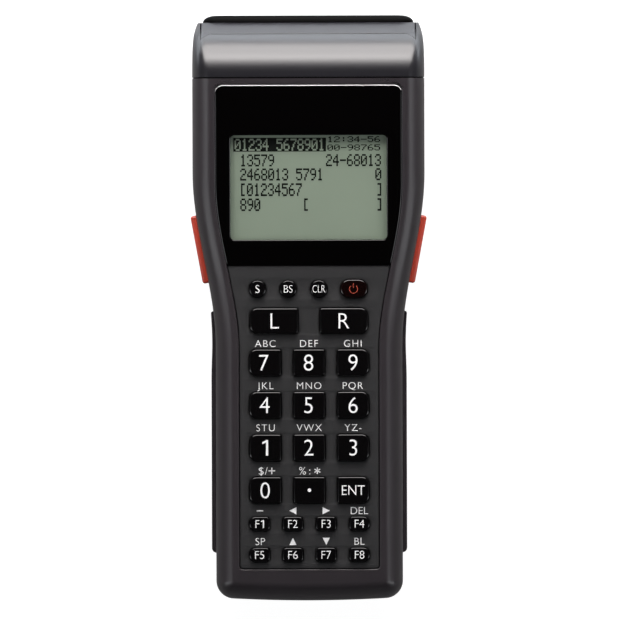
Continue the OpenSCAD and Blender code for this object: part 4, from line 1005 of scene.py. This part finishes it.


# ---- materials ----

# the noises' scales, the pointiness at which the paled edges begin and end, and how pale they are;
# the paling is wear, and on the triggers also a painted highlight
CLOUD_SCALE, GLOSS_SCALE, GRAIN_DEPTH = 45, 130, 0.00004
WEAR_AND_SHEEN_AT, WEAR_AND_SHEEN_GAIN, COAT_ROUGH = (0.52, 0.62), 2.2, 0.03


def new_material(name):
    mat = bpy.data.materials.new(name)
    mat.use_nodes = True
    return mat, mat.node_tree


def feed(tree, socket, value):
    """Links a socket to another node's output, or sets it."""
    if isinstance(value, bpy.types.NodeSocket):
        tree.links.new(value, socket)
    else:
        socket.default_value = value


def fill(tree, node, **values):
    """Feeds a node's inputs; a _ in a name stands for a blank."""
    for name, value in values.items():
        feed(tree, node.inputs[name.replace("_", " ")], value)
    return node


def new_node(tree, kind, **values):
    return fill(tree, tree.nodes.new("ShaderNode" + kind), **values)


def ranged(tree, value, low, high, start=0.0, end=1.0, kind="LINEAR"):
    """value runs from start to end, and the result from low to high."""
    node = new_node(tree, "MapRange")
    node.interpolation_type = kind
    fill(tree, node, Value=value, From_Min=start, From_Max=end, To_Min=low, To_Max=high)
    return node.outputs["Result"]


def surface(name, color, rough, vary=0.06, grain=(3500, 0.25), wear_and_sheen=0.0, metal=0.0, coat=0.0,
            specular=0.5, spread=0.04, stretch=(1, 1, 1)):
    """A moulded or drawn surface: cloudy colour, uneven gloss, fine grain and edges paled by
    pointiness, for wear and, on the triggers, a painted highlight.
    """
    mat, tree = new_material(name)
    where = new_node(tree, "TexCoord").outputs["Object"]
    mapped = new_node(tree, "Mapping", Vector=where, Scale=stretch).outputs["Vector"]

    def noise(scale, detail=3.0):
        return new_node(tree, "TexNoise", Vector=mapped, Scale=scale, Detail=detail).outputs["Fac"]

    def color_socket(sockets, name):
        return next(s for s in sockets if s.name == name and s.type == "RGBA")

    def blend(factor, a, b):
        mix = new_node(tree, "Mix", Factor=factor)
        mix.data_type = "RGBA"
        for name, value in (("A", a), ("B", b)):
            feed(tree, color_socket(mix.inputs, name), value)
        return color_socket(mix.outputs, "Result")

    def scaled(k):
        return tuple(min(c * k, 1.0) for c in color) + (1.0,)

    tone = blend(noise(CLOUD_SCALE), scaled(1 - vary), scaled(1 + vary))
    if wear_and_sheen:
        # convex edges paler: wear, and on the triggers also a painted highlight
        edges = new_node(tree, "NewGeometry").outputs["Pointiness"]
        tone = blend(ranged(tree, edges, 0.0, wear_and_sheen, *WEAR_AND_SHEEN_AT), tone, scaled(WEAR_AND_SHEEN_GAIN))
    gloss = ranged(tree, noise(GLOSS_SCALE), max(rough - spread, 0.02), rough + spread)
    bump = new_node(tree, "Bump", Strength=grain[1], Distance=GRAIN_DEPTH,
                    Height=noise(grain[0], 2.0)).outputs["Normal"]
    fill(tree, tree.nodes["Principled BSDF"], Metallic=metal, Coat_Weight=coat,
         Coat_Roughness=COAT_ROUGH, Specular_IOR_Level=specular, Base_Color=tone,
         Roughness=gloss, Normal=bump)
    return mat


SHELL = surface("shell", (0.0250, 0.0208, 0.0240), 0.34, wear_and_sheen=0.12, grain=(4200, 0.35))
CAP = surface("cap", (0.0098, 0.0093, 0.012), 0.28, wear_and_sheen=0.12, grain=(4200, 0.3), specular=0.68,
              spread=0.01)
GLOSS = surface("gloss_black", (0.0010, 0.0008, 0.0009), 0.05, grain=(300, 0.02), spread=0.015)
# near white for the window's bevel at its head end: a painted highlight of the head lamp on that
# bevel
PAINTED_EDGE_HIGHLIGHT = surface("window_painted_highlight", (0.80, 0.80, 0.80), 0.2, grain=(800, 0.02), spread=0.03)
PANEL = surface("panel", (0.0205, 0.0202, 0.0212), 0.62, vary=0.1, grain=(5200, 0.9), specular=0.3)
KEY = surface("key", (0.0025, 0.0022, 0.0025), 0.13, grain=(500, 0.03), spread=0.03)
POWER = surface("power_key", (0.004, 0.0012, 0.0012), 0.14, grain=(500, 0.03), spread=0.03)
PRINT = surface("print", (0.88, 0.88, 0.88), 0.5, vary=0.03, grain=(5000, 0.1))
POWER_PRINT = surface("power_print", (0.34, 0.05, 0.026), 0.45, vary=0.05)
# its edges paled by pointiness: wear, and also a painted highlight along the trigger's edges
ORANGE = surface("trigger_orange", (0.53, 0.050, 0.024), 0.42, grain=(4200, 0.3), wear_and_sheen=0.1)
LCD = surface("lcd", (0.217, 0.266, 0.205), 0.32, vary=0.04, grain=(2600, 0.05), coat=0.3)
LCD_DARK = surface("lcd_dots", (0.004, 0.005, 0.004), 0.5, vary=0.15, specular=0.1)
LCD_LIGHT = surface("lcd_light", (0.20, 0.245, 0.185), 0.4, vary=0.05)
RUBBER = surface("rubber", (0.012, 0.012, 0.013), 0.6, grain=(3000, 0.5))
RIM = surface("scan_rim", (0.0015, 0.0015, 0.0015), 0.5, grain=(3000, 0.1), specular=0.03)
SCAN = surface("scan_glass", (0.09, 0.004, 0.006), 0.08, grain=(300, 0.02), coat=0.6)
STEEL = surface("steel", (0.55, 0.55, 0.57), 0.3, metal=1.0, stretch=(1, 9, 1), grain=(900, 0.15))
BRASS = surface("contact", (0.80, 0.62, 0.30), 0.28, metal=1.0, grain=(900, 0.1))
SLEEVE = surface("sleeve", (0.10, 0.17, 0.22), 0.25, vary=0.08, grain=(700, 0.05), coat=0.3)
TRAY = surface("tray", (0.022, 0.022, 0.024), 0.55)
BOARD = surface("board", (0.012, 0.10, 0.04), 0.4, vary=0.2)
CHIP = surface("chip", (0.014, 0.014, 0.015), 0.5)
GUIDE = surface("light_guide", (0.6, 0.6, 0.57), 0.5)
DOME = surface("dome", (0.5, 0.47, 0.30), 0.4)

NODE_MATERIALS = {
    "lcd_panel": LCD, "lcd_frame": GUIDE, "keypad_mat": RUBBER, "dome_sheet": DOME,
    "main_board": BOARD, "board_parts": CHIP, "buzzer": CHIP, "backup_cell": STEEL,
    "trigger_switches": CHIP, "scan_engine": CHIP, "scan_bracket": STEEL, "battery_tray": TRAY,
    "battery_contacts": BRASS, "cover_hinge_pin": STEEL, "case_screws": STEEL,
    "ir_window": SCAN, "charge_contacts": BRASS,
}


def paint(obj, material):
    obj.data.materials.clear()
    obj.data.materials.append(material)


def dress(piece, material, body, slot, *nodes):
    paint(piece, material)
    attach(piece, body)
    if nodes:
        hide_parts(*nodes)
    return piece


for node, material in NODE_MATERIALS.items():
    paint(frame["nodes"][node], material)

# ---- the pieces ----

BODY_OF = {n: b for b, ns in frame["record"]["behaviour"]["bodies"].items() for n in ns}
HOUSING = BODY_OF["front_case"]
dress(front_shell(), SHELL, HOUSING, "shell", "front_case")
dress(rear_shell(), SHELL, HOUSING, "shell", "rear_case")
dress(head_cap(), CAP, HOUSING, "shell", "head_cap")
# a black band inside the parting line: painted shade, so that the gap between the front shell and
# the cap reads dark
dress(seam_liner(), RIM, HOUSING, "shell")
dress(scan_bezel(), RIM, HOUSING, "rubber", "scan_bezel")
dress(scan_pane(), SCAN, HOUSING, "scan_glass", "scan_window")
dress(keypad_panel(), PANEL, HOUSING, "panel", "keypad_panel")
window = dress(display_window(), GLOSS, HOUSING, "gloss_black", "display_window")
# a second, near-white material for the head-end bevel: a painted highlight
window.data.materials.append(PAINTED_EDGE_HIGHLIGHT)
for face in window.data.polygons:
    # the bevel round its head end, which gets the painted highlight
    far = (face.center.y - LOW.y) / MM > WINDOW_HEAD_Y - WINDOW_R - 1
    face.material_index = int(far and face.normal.y > 0.1 and face.normal.z > 0.3)
for piece, material in zip(display_content(), (LCD_DARK, LCD_DARK, LCD_LIGHT)):
    dress(piece, material, HOUSING, "lcd")
dress(battery_cover(), SHELL, "battery_cover", "shell", "battery_cover")
dress(named(cover_lock(), "lock_slider"), SHELL, "cover_lock", "shell", "cover_lock")
dress(trigger(1), ORANGE, "trigger_right", "trigger", "trigger_right")
dress(trigger(-1), ORANGE, "trigger_left", "trigger", "trigger_left")
for node, along in (("battery_left", 1), ("battery_right", -1)):
    sleeve, steel = battery(node, along)
    dress(sleeve, SLEEVE, HOUSING, "cell", node)
    dress(steel, STEEL, HOUSING, "cell")

for node in KEYS:
    red = node == "key_power"
    dress(key_cap(node), POWER if red else KEY, BODY_OF[node], "power_key" if red else "key", node)


def on_key(piece, node, dx=0, dy=0, material=PRINT, slot="key"):
    x, y, _, _, _, top = key_sizes(node)
    dress(moved(piece, x + dx, y + dy, top + PRINT_LIFT), material, BODY_OF[node], slot)


def on_keypad(piece, x, y):
    dress(moved(piece, x, y, PANEL_TOP_Z + PRINT_LIFT), PRINT, HOUSING, "panel")


for node, text, cap, dx, weight, squeeze in KEY_LEGENDS:
    on_key(text_mesh("legend_" + node, text, cap, weight, squeeze=squeeze), node, dx)
# node, loops, shift, material and slot
KEY_SIGNS = [
    ("key_power", power_sign(), -0.15, -0.1, POWER_PRINT, "power_key"),
    ("key_1", [figure_one(4.5, 0.62)]), ("key_f1", [figure_one(2.3, 0.33)], 0.85),
]
for node, loops, *where in KEY_SIGNS:
    on_key(plates("sign_" + node, loops, *PRINT_Z), node, *where)
point = turned("legend_key_point", [(z, 0.52) for z in PRINT_Z], (0, 0, 0), 1)
point.data.transform(Matrix.Translation((0, -LOW.y, 0)))
point.data.transform(Matrix.Rotation(pi / 2, 4, "X"))
on_key(point, "key_point")

for i, (text, x, y, cap, spacing) in enumerate(PANEL_LEGENDS):
    on_keypad(text_mesh("panel_legend_%02d" % i, text, cap, PANEL_WEIGHT, spacing), x, y)
# x, y and loops
SIGNS = [(x, y, [arrow(angle)]) for x, y, angle in ARROWS] + [
    (-14.4, 26.1, [bar(1.9, 0.3)]), (-10.9, 37.7, [bar(1.9, 0.3), bar(1.9, 0.3, 90)]),
    (2.3, 37.7, [bar(1.9, 0.28, angle) for angle in (90, 30, 150)]),
]
for i, (x, y, loops) in enumerate(SIGNS):
    on_keypad(plates("panel_sign_%d" % i, loops, *PRINT_Z), x, y)


# ---- floor, light and camera ----

FLOOR_HW, FLOOR_COLOR, FLOOR_ROUGH, FLOOR_IN_GLOSS = 4, 0.22, 0.9, 0.06
# the floor's glow near the object and away from it, and the distances in metres
FLOOR_GLOW, FLOOR_GLOW_AT = (0.92, 1.0), (0.12, 0.6)
# the world's strength at the horizon and above, and the heights of its direction
WORLD_LIGHT, WORLD_LIGHT_AT = (0.10, 0.005), (0.0, 0.7)
WHITE = (1, 1, 1, 1)
WARM, COOL, PALE_BLUE = (1.0, 0.965, 0.95), (0.95, 0.97, 1.0), (0.86, 0.93, 1.0)
# width of the camera's frame on the face, its distance, place and turn, all in metres
FRAME_W, CAMERA_DISTANCE = 0.1798, 8.0
CAMERA_AT, CAMERA_TURN = (0.00017, -0.00049, 0.026 + CAMERA_DISTANCE), -0.0029
SENSOR = 36


def math_node(tree, operation, a, b):
    node = new_node(tree, "Math")
    node.operation = operation
    for socket, value in zip(node.inputs, (a, b)):
        feed(tree, socket, value)
    return node.outputs[0]


def white_for(tree, gloss):
    """1 for camera and transmission rays, and gloss for glossy ones."""
    rays = new_node(tree, "LightPath").outputs
    value = math_node(tree, "MULTIPLY", rays["Is Glossy Ray"], gloss)
    for ray in ("Is Camera Ray", "Is Transmission Ray"):
        value = math_node(tree, "MAXIMUM", value, rays[ray])
    return value


def floor():
    corners = [(x * FLOOR_HW, y * FLOOR_HW, 0) for x, y in SQUARE]
    obj = mesh_object("floor", corners, [(0, 1, 2, 3)])
    mat, tree = new_material("floor")
    where = new_node(tree, "TexCoord").outputs["Object"]
    away = new_node(tree, "VectorMath")
    away.operation = "LENGTH"
    tree.links.new(where, away.inputs[0])
    rise = ranged(tree, away.outputs["Value"], *FLOOR_GLOW, *FLOOR_GLOW_AT, "SMOOTHSTEP")
    fill(tree, tree.nodes["Principled BSDF"], Base_Color=(FLOOR_COLOR, FLOOR_COLOR, FLOOR_COLOR, 1),
         Roughness=FLOOR_ROUGH, Specular_IOR_Level=0.0, Emission_Color=WHITE,
         Emission_Strength=math_node(tree, "MULTIPLY", white_for(tree, FLOOR_IN_GLOSS), rise))
    paint(obj, mat)


def world():
    w = bpy.data.worlds.new("studio")
    bpy.context.scene.world = w
    w.use_nodes = True
    tree = w.node_tree
    split = new_node(tree, "SeparateXYZ", Vector=new_node(tree, "TexCoord").outputs["Generated"])
    fade = ranged(tree, split.outputs["Z"], *WORLD_LIGHT, *WORLD_LIGHT_AT, "SMOOTHSTEP")
    light = fill(tree, tree.nodes["Background"], Strength=fade, Color=WHITE)
    white = new_node(tree, "Background", Color=WHITE)
    mix = new_node(tree, "MixShader", Fac=white_for(tree, 0))
    feed(tree, mix.inputs[1], light.outputs[0])
    feed(tree, mix.inputs[2], white.outputs[0])
    fill(tree, tree.nodes["World Output"], Surface=mix.outputs[0])


def softbox(name, at, to, size, radiance, color, spread=180):
    """A lamp of a size in metres and a radiance, at a place and turned to another."""
    data = bpy.data.lights.new(name, "AREA")
    data.shape, data.size, data.size_y = "RECTANGLE", size[0], size[1]
    data.energy = radiance * pi * size[0] * size[1]
    data.color, data.spread = color, radians(spread)
    obj = link(name, data)
    obj.location = at
    obj.rotation_euler = (Vector(to) - Vector(at)).to_track_quat("-Z", "Y").to_euler()


def camera():
    """Looks straight down on the keypad from far away, as the photograph does."""
    data = bpy.data.cameras.new("camera")
    data.sensor_width, data.clip_end = SENSOR, 30
    data.lens = SENSOR * CAMERA_DISTANCE / FRAME_W
    obj = link("camera", data)
    obj.location, obj.rotation_euler = CAMERA_AT, (0, 0, CAMERA_TURN)
    bpy.context.scene.camera = obj


floor()
world()
softbox("head_light", (0, 0.34, 0.145), (0, 0.07, 0.02), (0.50, 0.25), 8.4, WARM)
# lights the floor before the head, which the nose mirrors up to its crease
softbox("floor_light", (0, 0.22, 0.09), (0, 0.22, 0), (0.5, 0.2), 16.0, PALE_BLUE, 70)
softbox("left_light", (-1.95, -0.75, 1.60), (0, 0, 0), (0.75, 2.9), 3.1, COOL)
softbox("right_light", (1.95, -0.75, 1.60), (0, 0, 0), (0.75, 2.9), 3.1, COOL)
softbox("high_light", (0, 1.25, 1.15), (0, 0, 0), (1.6, 0.8), 3.0, WARM)
softbox("foot_light", (0, -0.8, 0.25), (0, 0, 0), (0.8, 0.3), 0.1, COOL)
camera()
bpy.context.scene.view_settings.view_transform = "Standard"
